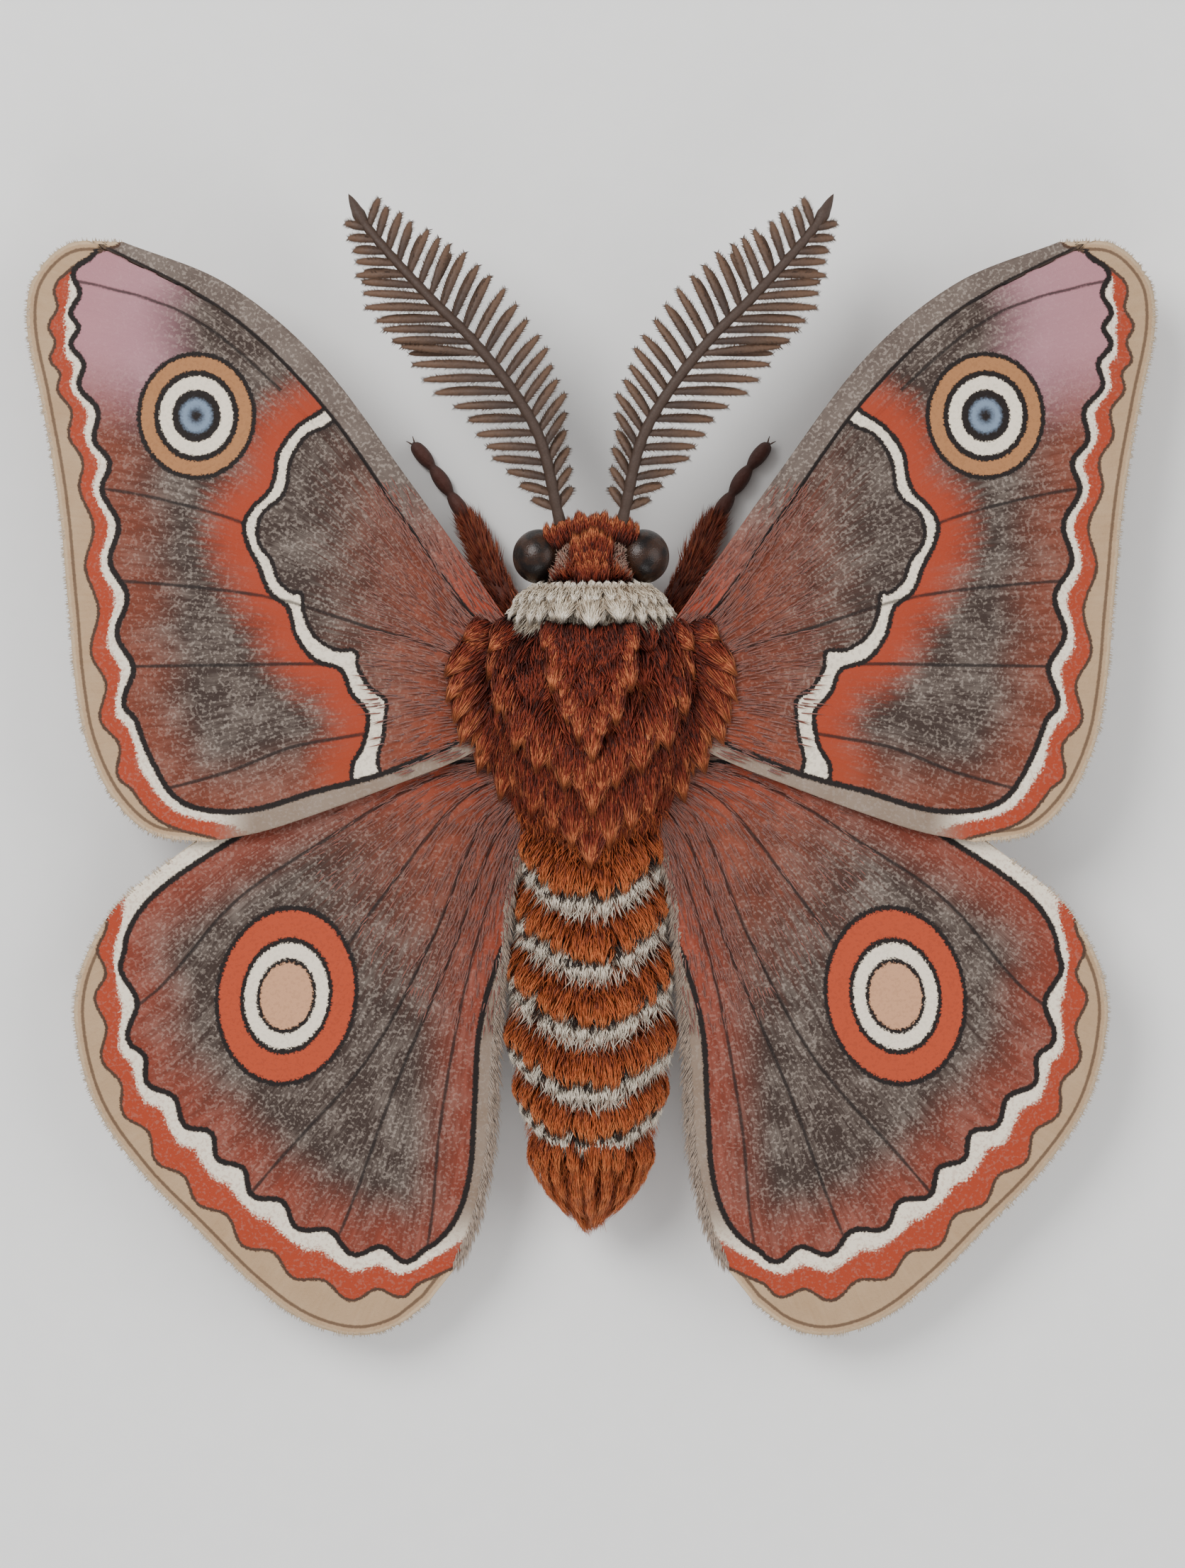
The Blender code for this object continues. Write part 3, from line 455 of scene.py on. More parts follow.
class Body:
    # the blended skin, read by the place along it and the angle round it

    def __init__(self):
        self.ys = np.linspace(*bodyEnds, 420)
        self.angles = np.linspace(-np.pi, np.pi, 145)
        self.radius = np.zeros((len(self.ys), len(self.angles)))
        turns = np.linspace(-np.pi, np.pi, 241)
        for rows in bodyRows.values():
            rows = np.array(rows, float)
            for i, y in enumerate(self.ys):
                if not rows[0, 0] < y < rows[-1, 0]:
                    continue
                width, level, rise, drop = smoothRows(rows[:, 0], rows[:, 1:], np.array([y]))[0]
                x = max(width, 0) * np.cos(turns)
                z = level + np.where(turns > 0, max(rise, 0), max(drop, 0)) * np.sin(turns) - self.axis(y)
                polar = np.arctan2(z, x)
                order = np.argsort(polar)
                reach = np.hypot(x, z)[order]
                found = np.interp(self.angles, polar[order], reach, period=2 * np.pi)
                self.radius[i] = np.maximum(self.radius[i], found)
        for _ in range(6):  # soften the valleys between the forms
            self.radius[1:-1] = (self.radius[:-2] + 2 * self.radius[1:-1] + self.radius[2:]) / 4
        self.across = np.linspace(-backHalf, backHalf, 129)
        upper = np.linspace(np.pi, 0, 90)
        self.heights = np.zeros((len(self.ys), len(self.across)))
        for i, y in enumerate(self.ys):
            r = np.interp(upper, self.angles, self.radius[i])
            self.heights[i] = np.interp(self.across, r * np.cos(upper), self.axis(y) + r * np.sin(upper),
                                        left=0, right=0)

    def axis(self, y):
        knots = np.array(bodyAxis, float)
        return smoothRows(knots[:, 0], knots[:, 1:], np.asarray(y, float))[..., 0]

    def row(self, y):
        return np.clip(alongBody(y) * (len(self.ys) - 1), 0, len(self.ys) - 1.001)

    def reach(self, y, angle):
        turn = (angle + np.pi) % (2 * np.pi)
        found = bilinear(self.radius, self.row(y), turn / (2 * np.pi) * (len(self.angles) - 1))
        return found * ((y > bodyEnds[0]) & (y < bodyEnds[1]))

    def at(self, y, angle, grow=0.0):
        y, angle = np.broadcast_arrays(np.asarray(y, float), np.asarray(angle, float))
        r = np.maximum(self.reach(y, angle) + grow, 0)
        return np.stack([r * np.cos(angle), y, self.axis(y) + r * np.sin(angle)], -1)

    def normal(self, y, angle):
        around = self.at(y, angle + 0.04) - self.at(y, angle - 0.04)
        along = self.at(y + 0.3, angle) - self.at(y - 0.3, angle)
        return unit(np.cross(along, around))

    def top(self, x, y):
        # height of the back over places in the plan, or 0 beside it
        share = (x + backHalf) / (2 * backHalf)
        j = np.clip(share * (len(self.across) - 1), 0, len(self.across) - 1.001)
        return bilinear(self.heights, self.row(y), j)


body = Body()


def unwrapped(y, angle):
    # the body's place on its own flat map
    u = 0.02 + 0.96 * ((angle + 0.5 * np.pi) % (2 * np.pi)) / (2 * np.pi)
    return np.stack([u, 0.02 + 0.96 * np.clip(alongBody(y), 0, 1)], -1)


def coatMarks(y, angle):
    # how pale and how dark the coat is at a place on the body; the abdomen's bands run level round it
    level = y - (1 - np.maximum(np.sin(angle), 0)**1.5) * 5.6
    pale, dark = np.zeros_like(y, float), np.zeros_like(y, float)
    for ring, beside in bandRows:
        begin, turn, end = [smoothStep(ring + low, ring + high, level) for low, high in bandEdges]
        pale = np.maximum(pale, begin * (1 - turn))
        dark = np.maximum(dark, turn * (1 - end))
    onAbdomen = 1 - smoothStep(-12.5, -11.5, y)
    collar = within(18.8, 20.0, 23.4, 24.2, y)
    return np.maximum(pale * onAbdomen, collar), dark * onAbdomen


# how the wings lie, as in the solids

def forewingHeight(x, y):
    s = (np.abs(x) - 11.0) / 64.0
    return 16.8 + 1.6 * np.sin(np.pi * np.clip(s, 0, 1)) - 3.0 * s * np.abs(s) - 0.0007 * (y - 8.0)**2


def hindwingHeight(x, y):
    return forewingHeight(x, y) - 1.8 - 0.0005 * np.minimum(0, y + 10.0)**2


def restsOn(x, y):
    # the highest thing under the long coat at places in the plan
    wing = np.where(y > 0, forewingHeight(x, y), hindwingHeight(x, y)) + 0.3
    return np.maximum(wing, body.top(x, y))


# wings: a fine sheet on the solids' own lines, with raised veins and the distances that its colors read

wingPlans = {  # right side; each line runs from the root to its share of the way round the margin
    "forewing": {
        "height": forewingHeight,
        "root": [(9.4, 17), (11.4, 4.5)],
        "margin": [
            (62, 69.6), (69.4, 69.5), (74.1, 65), (75, 58.9), (73, 48.8), (70.7, 36.5), (69.2, 22),
            (68.2, 11.2), (66.8, 3.6), (63.3, -3.9), (58, -8.8), (50.6, -9.9)],
        "lines": [
            (0.0, 0.0, [(12.1, 20.8), (24.4, 38.2), (36.4, 54.1), (48.3, 63.9)]),
            (0.06, 0.04, [(15.1, 19.4), (24.5, 32.4), (35.7, 48), (48.3, 60.1)]),
            (0.16, 0.13, [(17, 19.4), (29.4, 36.6), (41.7, 50.4), (54.3, 60.2)]),
            (0.40, 0.42, [(22, 18.6), (34, 26.4), (45.5, 32), (58, 35.6)]),
            (0.58, 0.55, [(18.1, 14.8), (30, 18.6), (41.4, 22.1), (54.3, 23.9)]),
            (0.72, 0.67, [(20, 11.4), (34.5, 13.4), (47, 13.4)]),
            (0.86, 0.86, [(20, 6.8), (29.7, 4.4), (39.3, 2.6), (48.3, -0.8)]),
            (1.0, 1.0, [(17.1, 1.1), (27.4, -3), (36.4, -6.3), (43.6, -8.6)]),
        ],
        "spot": {"center": (52.1, 46.35), "half": (7.7, 8.25), "lean": 5.0},
        "waves": {
            "waveOut": {
                "places": [
                    (62.6, 69.2), (66.2, 67.9), (70.2, 65), (71.2, 61.5), (71.6, 57.4), (71.1, 52.9),
                    (69.7, 48.3), (68.2, 42), (66.7, 34.4), (66, 23.8), (65.1, 13.1), (63.6, 4.4),
                    (60.8, -2.6), (56.6, -7.3), (49.5, -9.5)],
                "crests": [10.4, 15.4, 19.8, 24.0, 30.3, 37.6, 47.9, 59.3, 68.2, 76.0], "height": (0.42, 0.85)},
            "waveIn": {
                "places": [
                    (65.9, 68.1), (68.1, 65.8), (68.4, 61.7), (68.5, 57.2), (67.5, 51.8), (65.4, 45),
                    (64.1, 38.2), (62.9, 29), (61.9, 20.3), (61, 10.1), (59.4, 4.3), (57.3, -0.4),
                    (54.9, -3.9), (51.3, -5.6), (44.7, -5.7), (36.4, -3.3), (27.4, -0.9), (17.8, 3.1)],
                "crests": [3.5, 8.7, 12.8, 18.5, 26.0, 32.8, 42.4, 52.0, 61.4], "height": (0.55, 1.0)},
        },
        "bands": {
            "bandOut": [
                (34.0, 48.6), (35.7, 46.8), (38.7, 44.8), (41.1, 41.5), (41.7, 38.2), (42.5, 36.2), (44.7, 34),
                (45.7, 32), (45.3, 29.5), (43.8, 26.5), (42.3, 23), (39.9, 20.9), (38.7, 17), (36.4, 14.1),
                (32.9, 12.7), (31.6, 9.8), (29.6, 7.4), (29.4, 5.6), (30.1, 2.6), (31.4, 0.3), (31.4, -2.2),
                (31.4, -6.0)],
            "bandIn": [
                (32.6, 47.2), (34.5, 45.1), (37.5, 43.6), (39.6, 40.3), (40.2, 36.7), (41.1, 35.2),
                (43.2, 33.5), (44, 31), (43.5, 29), (42.1, 27.2), (41.1, 24.5), (39.3, 22.9), (38.2, 22.9),
                (37.8, 20.3), (36.4, 17.3), (33.6, 15.4), (31, 15.2), (30.7, 13.1), (29.1, 10.4), (27.1, 8.8),
                (27.1, 6.3), (27.4, 3.8), (28.1, 0.8), (27.6, -1.2), (27.6, -5.0)],
        },
    },
    "hindwing": {
        "height": hindwingHeight,
        "root": [(11.2, 2.6), (7.4, -6.6)],
        "margin": [
            (55.4, -12.1), (62.8, -18.2), (67.6, -26.4), (68.7, -33.6), (66.2, -44.6), (60, -53.8), (52, -62),
            (45.3, -68.8), (38.6, -73.8), (31.8, -75.9), (26.2, -74.7), (21.6, -71.3)],
        "lines": [
            (0.0, 0.0, [(22, 4), (34, 2.2), (44, -3.6)]),
            (0.16, 0.30, [(22.4, -2.2), (35, -9.6), (47, -17.8), (58, -30)]),
            (0.36, 0.52, [(17.4, -4.6), (26.4, -15.6), (34, -26.4), (45, -44.6)]),
            (0.54, 0.64, [(14.4, -7.4), (20.9, -22.5), (29.6, -38.6), (41.6, -52.4)]),
            (0.72, 0.80, [(12.8, -9.6), (18.2, -24), (26.4, -43.4), (33, -61)]),
            (0.86, 0.94, [(11.8, -13), (16.4, -28), (20, -47.4), (21.9, -64)]),
            (1.0, 1.0, [(9.9, -14.2), (11.2, -24.4), (12.2, -37), (13.3, -52.5), (16.2, -63.6)]),
        ],
        "spot": {"center": (40.3, -30.3), "half": (9.2, 11.8), "lean": -10.0},
        "waves": {
            "waveOut": {
                "places": [
                    (64.2, -20.6), (64.9, -24.7), (65.2, -30), (64.9, -36.2), (62.8, -43.4), (59.6, -48.9),
                    (55.4, -54.3), (50.7, -58.6), (45.2, -63.7), (38.3, -67.9), (33.4, -70.1), (27, -70.3),
                    (22.4, -68.6), (17.8, -66.5)],
                "crests": [3.6, 10.1, 18.2, 25.9, 33.4, 41.2, 49.3, 57.1, 65.2, 72.0], "height": (0.7, 0.85)},
            "waveIn": {
                "places": [
                    (13, 0.4), (22, 0.6), (35, -2.2), (46.8, -9.3), (57.9, -17), (61.7, -23), (61, -31.1),
                    (60.3, -38), (56.4, -43.9), (50.3, -50), (45.2, -55.6), (37.6, -61.2), (32, -63.8),
                    (26.1, -65), (21.5, -63.9), (18.2, -60.4), (16.2, -54.4), (15.5, -45), (14.8, -34.8),
                    (12.5, -25.9), (10.7, -22.2)],
                "crests": [60.4, 69.5, 75.8, 83.2, 89.4, 96.0, 103.2, 111.2, 118.2], "height": (0.75, 1.0)},
        },
        "bands": {},
    },
}
wingSheet = {"stations": 110, "column": 0.65, "membrane": (0.40, 0.24), "vein": (0.92, 0.46), "veinFoot": 0.36,
             "costa": (0.95, 0.4), "ripple": 0.12}


def wavy(places, crests, height):
    # a centre line with waves whose crests point outward at the given places along it
    line = Curve(places, 900)
    along = line.shares * line.length
    turn = np.interp(along, crests, np.arange(len(crests)))
    grown = np.interp(along, (crests[0], crests[-1]), height)
    grown = grown * within(crests[0] - 2.5, crests[0], crests[-1], crests[-1] + 2.5, along)
    way = np.gradient(line.places, axis=0)
    outward = unit(np.stack([-way[:, 1], way[:, 0]], -1))
    return line.places + outward * (grown * np.cos(2 * np.pi * turn))[:, None]


def spotRadius(points, spot):
    # 1 on the eyespot's outline
    lean = math.radians(spot["lean"])
    up, across = (math.sin(lean), math.cos(lean)), (math.cos(lean), -math.sin(lean))
    gap = points - np.array(spot["center"])
    return np.hypot(gap @ across / spot["half"][0], gap @ up / spot["half"][1])


def wingFields(name, plan, lines, points):
    # distances from the outline, veins, bands, waves and eyespot, at every place of the sheet
    margin = Curve(plan["margin"])
    outline = np.concatenate([lines[0].places[::2], margin.places, lines[-1].places[::-2]])
    fields = {"rim": np.abs(signedDistance(points, outline)), "spot": spotRadius(points, plan["spot"])}
    for key, wave in plan["waves"].items():
        fields[key] = signedDistance(points, wavy(**wave))
    for key, places in plan["bands"].items():
        fields[key] = signedDistance(points, Curve(places, 500).places)
    ink = [np.abs(signedDistance(points, line.places[::3])) for line in lines[1:-1]]
    x, y = points.T
    far = 9.0  # a distance at which a vein has no ink
    if name == "forewing":
        fields["strip"] = signedDistance(points, lines[1].places)
        ink[1] = np.where(x < 40.5, far, ink[1])
        for k in (1, 2, 4, 5):
            ink[k] = np.where(fields["bandOut"] < 0, far, ink[k])
        inner = 1 - smoothStep(44, 51, x)
    else:
        ink[1] = np.where(x > 33.5, far, ink[1])
        inner = np.maximum(smoothStep(-66, -58, y) * (1 - smoothStep(24, 30, x)),
                           smoothStep(-12, -8, y) * (1 - smoothStep(44, 54, x)))
    fields["vein"], fields["inner"] = np.minimum.reduce(ink), inner
    return fields


def wingSheetMesh(name, plan):
    # columns run from the root to the margin; each has its places, 1 on a vein, and its share of the margin
    root, margin = Curve(plan["root"]), Curve(plan["margin"])
    stations = np.linspace(0, 1, wingSheet["stations"])
    lines, columns = [], []
    for atRoot, atMargin, places in plan["lines"]:
        lines.append(Curve([tuple(root.at(atRoot)), *places, tuple(margin.at(atMargin))]))
    main = [line.at(stations) for line in lines]
    for k in range(len(main) - 1):
        low, high = main[k], main[k + 1]
        t0, t1 = plan["lines"][k][1], plan["lines"][k + 1][1]
        count = max(5, round((t1 - t0) * margin.length / wingSheet["column"]))
        gap = np.linalg.norm(high - low, axis=1, keepdims=True)
        foot = np.minimum(wingSheet["veinFoot"] / np.maximum(gap, 1e-3), 0.6 / count)
        columns += [(low, 1.0, t0), (mixed(low, high, foot), 0.0, t0)]
        for c in range(1, count):
            line, turn = mixed(low, high, c / count), mixed(t0, t1, c / count)
            columns.append((line + (margin.at(turn) - line[-1]) * (stations**3)[:, None], 0.0, turn))
        columns.append((mixed(high, low, foot), 0.0, t1))
    columns.append((main[-1], 0.0, 1.0))
    wide = len(columns)
    bm = bmesh.new()
    bmesh.ops.create_grid(bm, x_segments=wide - 1, y_segments=len(stations) - 1, size=1.0)
    points = np.stack([c[0] for c in columns], 1).reshape(-1, 2)
    veins = np.tile([c[1] for c in columns], len(stations))
    reach = np.repeat(stations, wide)
    fields = wingFields(name, plan, lines, points)
    fields["reach"] = reach
    fields["round"] = np.tile([c[2] for c in columns], len(stations))
    ripple = wingSheet["ripple"] * np.sin(fields["vein"].clip(0, 6) * 0.9) * smoothStep(0.1, 0.4, reach)
    z = plan["height"](*points.T) + ripple
    for v, p, height in zip(bm.verts, points, z):
        v.co = (p[0] * mm, p[1] * mm, height * mm)
    sheet = toMesh(bm)
    for key, values in fields.items():
        addAttribute(sheet, key, values)
    membrane = mixed(*wingSheet["membrane"], reach)
    raised = mixed(*wingSheet["vein"], reach) * smoothStep(0.9, 1.2, fields["spot"])
    thickness = np.maximum(membrane, veins * raised)
    front = (np.arange(len(points)) % wide) == 0
    thickness = np.where(front, mixed(*wingSheet["costa"], reach), thickness)
    obj = placed("sheet", sheet)
    group = obj.vertex_groups.new(name="thickness")
    for k, weight in enumerate(thickness):
        group.add([k], float(weight), "REPLACE")
    solid = obj.modifiers.new("thickness", "SOLIDIFY")
    solid.thickness = mm
    solid.offset = 0.0
    solid.vertex_group = "thickness"
    made = bpy.data.meshes.new_from_object(obj.evaluated_get(bpy.context.evaluated_depsgraph_get()))
    bpy.data.objects.remove(obj)
    bm = bmesh.new()
    bm.from_mesh(made)
    bmesh.ops.recalc_face_normals(bm, faces=bm.faces)
    made = toMesh(bm)
    addAttribute(made, "under", (readAll(made.vertices, "normal", 3)[:, 2] < 0).astype(float))
    planMap(made)
    return made, lines


def planMap(mesh):
    # the upper and lower faces side by side on one flat map
    co = coordinates(mesh)
    low, high = co.min(0), co.max(0)
    loops = readAll(mesh.loops, "vertex_index", 1, int)
    totals = readAll(mesh.polygons, "loop_total", 1, int)
    lower = np.repeat(readAll(mesh.polygons, "normal", 3)[:, 2] < -0.2, totals)
    place = co[loops]
    u = 0.01 + 0.46 * (place[:, 0] - low[0]) / (high[0] - low[0]) + 3.0 * (place[:, 2] - co[:, 2].mean())
    v = 0.01 + 0.97 * (place[:, 1] - low[1]) / (high[1] - low[1])
    writeMap(mesh.uv_layers.new(name="OFBake"), np.clip(np.stack([u + 0.5 * lower, v], -1), 0, 1))


wingColors = {
    "dark": (0.034, 0.020, 0.015), "frost": (0.34, 0.28, 0.235), "rust": (0.25, 0.040, 0.012),
    "brick": (0.31, 0.040, 0.014), "cream": (0.78, 0.68, 0.54), "clay": (0.33, 0.20, 0.105),
    "clayPale": (0.50, 0.36, 0.225), "ink": (0.010, 0.006, 0.005), "lilac": (0.42, 0.20, 0.23),
    "tan": (0.17, 0.11, 0.07), "blue": (0.20, 0.27, 0.37), "underside": (0.30, 0.22, 0.165),
    "fawn": (0.34, 0.15, 0.06), "red": (0.38, 0.055, 0.020), "pupil": (0.52, 0.27, 0.15),
    "shadow": (0.075, 0.052, 0.042), "rimLine": (0.07, 0.035, 0.02), "waveLine": (0.06, 0.03, 0.018),
}


def wingLook(name):
    look = Look(name + "Scales", 0.8, Specular_IOR_Level=0.25)
    c = wingColors
    at = {key: look.attribute(key) for key in ("rim", "spot", "waveOut", "waveIn", "vein", "reach", "round",
                                               "under", "inner")}
    place = look.place()
    grain = look.noise(place, 0.30, 2.0, 0.6) - 0.5
    cloud = look.noise(place, 5.0, 3.0, 0.6)
    fan = look.node("ShaderNodeCombineXYZ", {}, {0: at["round"] * 0.12, 1: at["reach"] * 0.010, 2: 0.0})
    streak = look.noise(fan, 0.8, 3.0, 0.65)
    speck = look.noise(place, 0.42, 1.0, 0.5).step(0.50, 0.66)
    loose = grain * 1.1
    frost = (cloud * 0.8 + streak * 0.8 - 0.72 + speck * 0.34).math("MAXIMUM", 0.0)
    ground = look.mix(frost, c["dark"], c["frost"])
    base = (1 - (at["reach"] + (streak - 0.5) * 0.3).step(0.06, 0.50)) * (0.70 + (cloud - 0.5))
    color = look.mix(base, ground, c["rust"])
    waveIn, waveOut = at["waveIn"] + loose * 0.5, at["waveOut"] + loose * 0.5
    blush = waveIn.step(-9.0, -0.5) * 0.55 * (streak + 0.35)
    if name == "forewing":
        at.update({key: look.attribute(key) for key in ("bandOut", "bandIn", "strip")})
        bandOut, bandIn = at["bandOut"] + loose * 0.6, at["bandIn"] + loose * 0.6
        outside = bandOut.step(-0.1, 0.1)
        color = look.mix(outside * (1 - (bandOut + (streak - 0.5) * 5.0).step(1.0, 7.5)) * 0.95, color, c["brick"])
        apex = (1 - (at["round"] + grain * 0.05).step(0.20, 0.36)) * waveIn.step(-17, -7)
        color = look.mix(blush, color, c["rust"])
        color = look.mix(apex * 0.8, color, c["lilac"])
        inBand = bandIn.step(-0.05, 0.05) * (1 - outside)
        color = look.mix(inBand, color, look.mix(speck * 0.35, c["cream"], c["frost"]))
        bandInk = bandOut.line(0.34, 0.10).math("MAXIMUM", bandIn.line(0.30, 0.10))
        color = look.mix(bandInk, color, c["ink"])
        strip = (at["strip"] + loose * 0.4).step(-0.08, 0.08)
        stripColor = look.mix(cloud * 0.5 + speck * 0.4 + streak * 0.3 - 0.25, c["shadow"], c["frost"])
        stripColor = look.mix(1 - at["reach"].step(0.02, 0.35), stripColor, c["brick"])
        color = look.mix(strip, color, stripColor)
        color = look.mix((at["strip"] + loose * 0.3).line(0.24, 0.10), color, c["ink"])
    else:
        color = look.mix(blush, color, c["brick"])
    width = (waveIn - waveOut).math("MAXIMUM", 0.3)
    across = waveIn / width + grain * 0.25
    banded = look.mix(across.step(0.34, 0.46), c["cream"], c["brick"])
    banded = look.mix(speck * 0.30, banded, look.mix(0.5, c["frost"], c["brick"]))
    banded = look.mix(at["inner"], banded, look.mix(cloud * 0.5 + speck * 0.2, c["tan"], c["frost"]))
    color = look.mix(waveIn.step(-0.1, 0.1), color, banded)
    clay = look.mix(cloud * 0.6 + streak * 0.5 - 0.2, c["clay"], c["clayPale"])
    clay = look.mix((at["rim"] + loose * 0.2 - 1.15).line(0.22, 0.10) * 0.8, clay, c["rimLine"])
    clay = look.mix(1 - (at["rim"] + loose * 0.3).step(0.3, 0.6), clay, c["clayPale"])
    color = look.mix(waveOut.step(-0.08, 0.08) * (1 - at["inner"]), color, clay)
    color = look.mix(waveOut.line(0.22, 0.10) * (1 - at["inner"]), color, c["waveLine"])
    color = look.mix(waveIn.line(0.40, 0.12), color, c["ink"])
    vein = (at["vein"] + loose * 0.20).line(0.25, 0.12) * (0.62 + streak * 0.4) * (1 - waveIn.step(-0.2, 0.2))
    color = look.mix(vein, color, c["ink"])
    spot = at["spot"] + grain * 0.10
    if name == "forewing":
        rings = [(1.035, c["ink"]), (0.955, c["fawn"]), (0.735, c["ink"]), (0.635, c["cream"]),
                 (0.425, c["ink"])]
    else:
        rings = [(1.03, c["ink"]), (0.965, c["red"]), (0.665, c["ink"]), (0.60, c["cream"]),
                 (0.43, c["ink"]), (0.375, c["pupil"])]
    for outer, tone in rings:
        fresh = look.mix(speck * 0.25, tone, look.shade(tone, 0.6))
        color = look.mix(1 - spot.step(outer - 0.012, outer + 0.012), color, fresh)
    if name == "forewing":
        shine = (1 - spot.step(0.22, 0.32)) * spot.step(0.05, 0.20)
        color = look.mix(shine * 0.8, color, c["blue"])
    color = look.mix(at["under"] * 0.35, color, look.mix(cloud, c["underside"], c["tan"]))
    look.set("Base Color", color)
    look.set("Roughness", 0.72 + grain * 0.3)
    look.bump(grain * 0.5 + speck * 0.35 + streak * 0.9, 0.10, 0.7)
    return look


wingLines = {}
for name, plan in wingPlans.items():
    sheet, wingLines[name] = wingSheetMesh(name, plan)
    finishedPair(name, "scales", sheet, wingLook(name))
print("wings made")


# skin under the coat: the body, palps and legs

skinDepth = 0.5
palp = {"path": [(1.4, 28.8, 11.6), (1.9, 31.2, 9.4), (1.7, 33.4, 9.6)], "radius": 0.85, "taper": 0.45}
legs = {  # right side: places and radii from the hip to the foot
    "front": [((5.5, 13.5, 10.2), 2.0), ((8.6, 18.4, 7.6), 2.0), ((11.6, 22.6, 8), 1.8), ((14, 27.6, 5.4), 1.9),
              ((16.4, 32.8, 2.0), 1.5), ((18.8, 36.6, 1.25), 1.0), ((21.2, 40.2, 1.15), 1.0),
              ((24.2, 44.0, 1.05), 0.8)],
    "middle": [((7.6, 5, 9.6), 2.0), ((13, 6.6, 7.4), 1.9), ((18.6, 8, 7.8), 1.7), ((21.4, 5, 4.6), 1.4),
               ((23.2, 1.2, 1.7), 1.1), ((24.8, -2.6, 1.05), 0.8), ((26.6, -6.2, 1.0), 0.75),
               ((28.4, -9.8, 0.9), 0.6)],
    "hind": [((5.4, -3, 9.6), 2.0), ((10.6, -7, 7.2), 1.9), ((15.6, -12, 7.6), 1.7), ((17.8, -17, 4.6), 1.4),
             ((19.2, -21.6, 1.7), 1.1), ((20.2, -25.6, 1.05), 0.8), ((21, -29.4, 1.0), 0.75),
             ((21.6, -33.4, 0.9), 0.6)],
}
footBeads = 3


class Leg:
    # a leg's middle line, and its radius with the foot's segments

    def __init__(self, rows, foot):
        self.curve = Curve([place for place, radius in rows])
        self.knots = self.curve.knots
        self.radii = [radius for place, radius in rows]
        self.footAt = self.knots[4] + 0.02
        self.foot = foot

    def radius(self, share):
        plain = np.interp(share, self.knots, self.radii)
        t = np.clip((share - self.footAt) / (1 - self.footAt), 0, 1) * footBeads
        beads = 0.40 + 0.56 * np.sin(np.pi * np.clip(t % 1.0, 0.02, 0.98))**0.6
        return np.where(share > self.footAt, beads * self.foot, plain - 0.3)


legShapes = {name: Leg(rows, 1.08 if name == "front" else 0.85) for name, rows in legs.items()}
palpCurve = Curve(palp["path"])


def palpRadius(share):
    return palp["radius"] * (1 - palp["taper"] * share)


def skinPlace(share, angle):
    return body.at(mixed(bodyEnds[1] - 0.02, bodyEnds[0] + 0.02, share), angle, -skinDepth)


def skinMesh():
    skin = ballMesh(96, 150, skinPlace)
    co = coordinates(skin) / mm
    pale, dark = coatMarks(co[:, 1], np.arctan2(co[:, 2] - body.axis(co[:, 1]), co[:, 0]))
    addAttribute(skin, "pale", pale)
    addAttribute(skin, "dark", dark)
    moveMap(skin, (0.005, 0.005), (0.785, 0.995))
    parts = [skin]
    tubes = [tubeMesh(leg.curve, leg.radius, 16, 96) for leg in legShapes.values()]
    tubes.append(tubeMesh(palpCurve, palpRadius, 14, 30))
    for k, tube in enumerate(tubes):
        for part in (tube, mirrored(tube)):
            row = len(parts) - 1
            moveMap(part, (0.8, row / 8 + 0.005), (0.995, (row + 1) / 8 - 0.005))
            addAttribute(part, "pale", np.zeros(len(part.vertices)))
            # painted shade: the legs are darker within a few millimetres of the floor
            addAttribute(part, "dark", smoothStep(3.4 * mm, 1.0 * mm, coordinates(part)[:, 2]) * 0.8)
            parts.append(part)
    return joined(parts)


skinColors = {"fur": (0.13, 0.028, 0.014), "orange": (0.30, 0.075, 0.025), "pale": (0.52, 0.42, 0.31),
              "dark": (0.025, 0.014, 0.010)}


def skinLook():
    look = Look("skin", 0.75)
    place = look.place()
    y = look.node("ShaderNodeSeparateXYZ", {}, {0: place}, 1)
    tone = look.mix(y.step(-0.012, -0.004), skinColors["orange"], skinColors["fur"])
    tone = look.mix(look.attribute("pale"), tone, skinColors["pale"])
    # the abdomen's black bars, and on the legs painted shade near the floor
    tone = look.mix(look.attribute("dark"), tone, skinColors["dark"])
    grain = look.noise(place, 0.5, 3.0, 0.6)
    look.set("Base Color", look.mix(grain * 0.6, tone, look.shade(tone, 0.45)))
    look.set("Roughness", 0.55 + grain * 0.3)
    look.bump(grain, 0.15)
    return look


bodyNodes = ["thorax", "collar", "head", "abdomen", "palp_left", "palp_right",
             *[f"leg_{name}_{side}" for name in legs for side in ("left", "right")]]
finished("body_skin", skinMesh(), skinLook(), bodyNodes)
print("skin made")


# eyes, each with a dark glossy cornea of fine facets

eye = {"center": (6.9, 27.8, 15.6), "half": (3.45, 3.6, 3.45), "facet": 0.20}


def eyePlace(share, angle):
    ring = np.sin(np.pi * share)
    ball = np.stack([np.cos(np.pi * share), ring * np.cos(angle), ring * np.sin(angle)], -1)
    return np.array(eye["center"]) + ball * eye["half"]


def eyeLook():
    look = Look("eye", 0.25, Coat_Weight=0.10, Coat_Roughness=0.12, Specular_IOR_Level=0.25)
    place = look.place()
    cell = look.cells(place, eye["facet"])
    shade = look.noise(place, 2.2, 2.0, 0.5)
    tone = look.mix(shade.step(0.40, 0.62), (0.010, 0.006, 0.005), (0.045, 0.019, 0.010))
    look.set("Base Color", look.mix(cell.step(0.10, 0.55) * 0.6, tone, look.shade(tone, 0.3)))
    look.set("Roughness", 0.24 + cell * 0.22)
    look.bump(1 - cell, 0.035, 0.8)
    return look


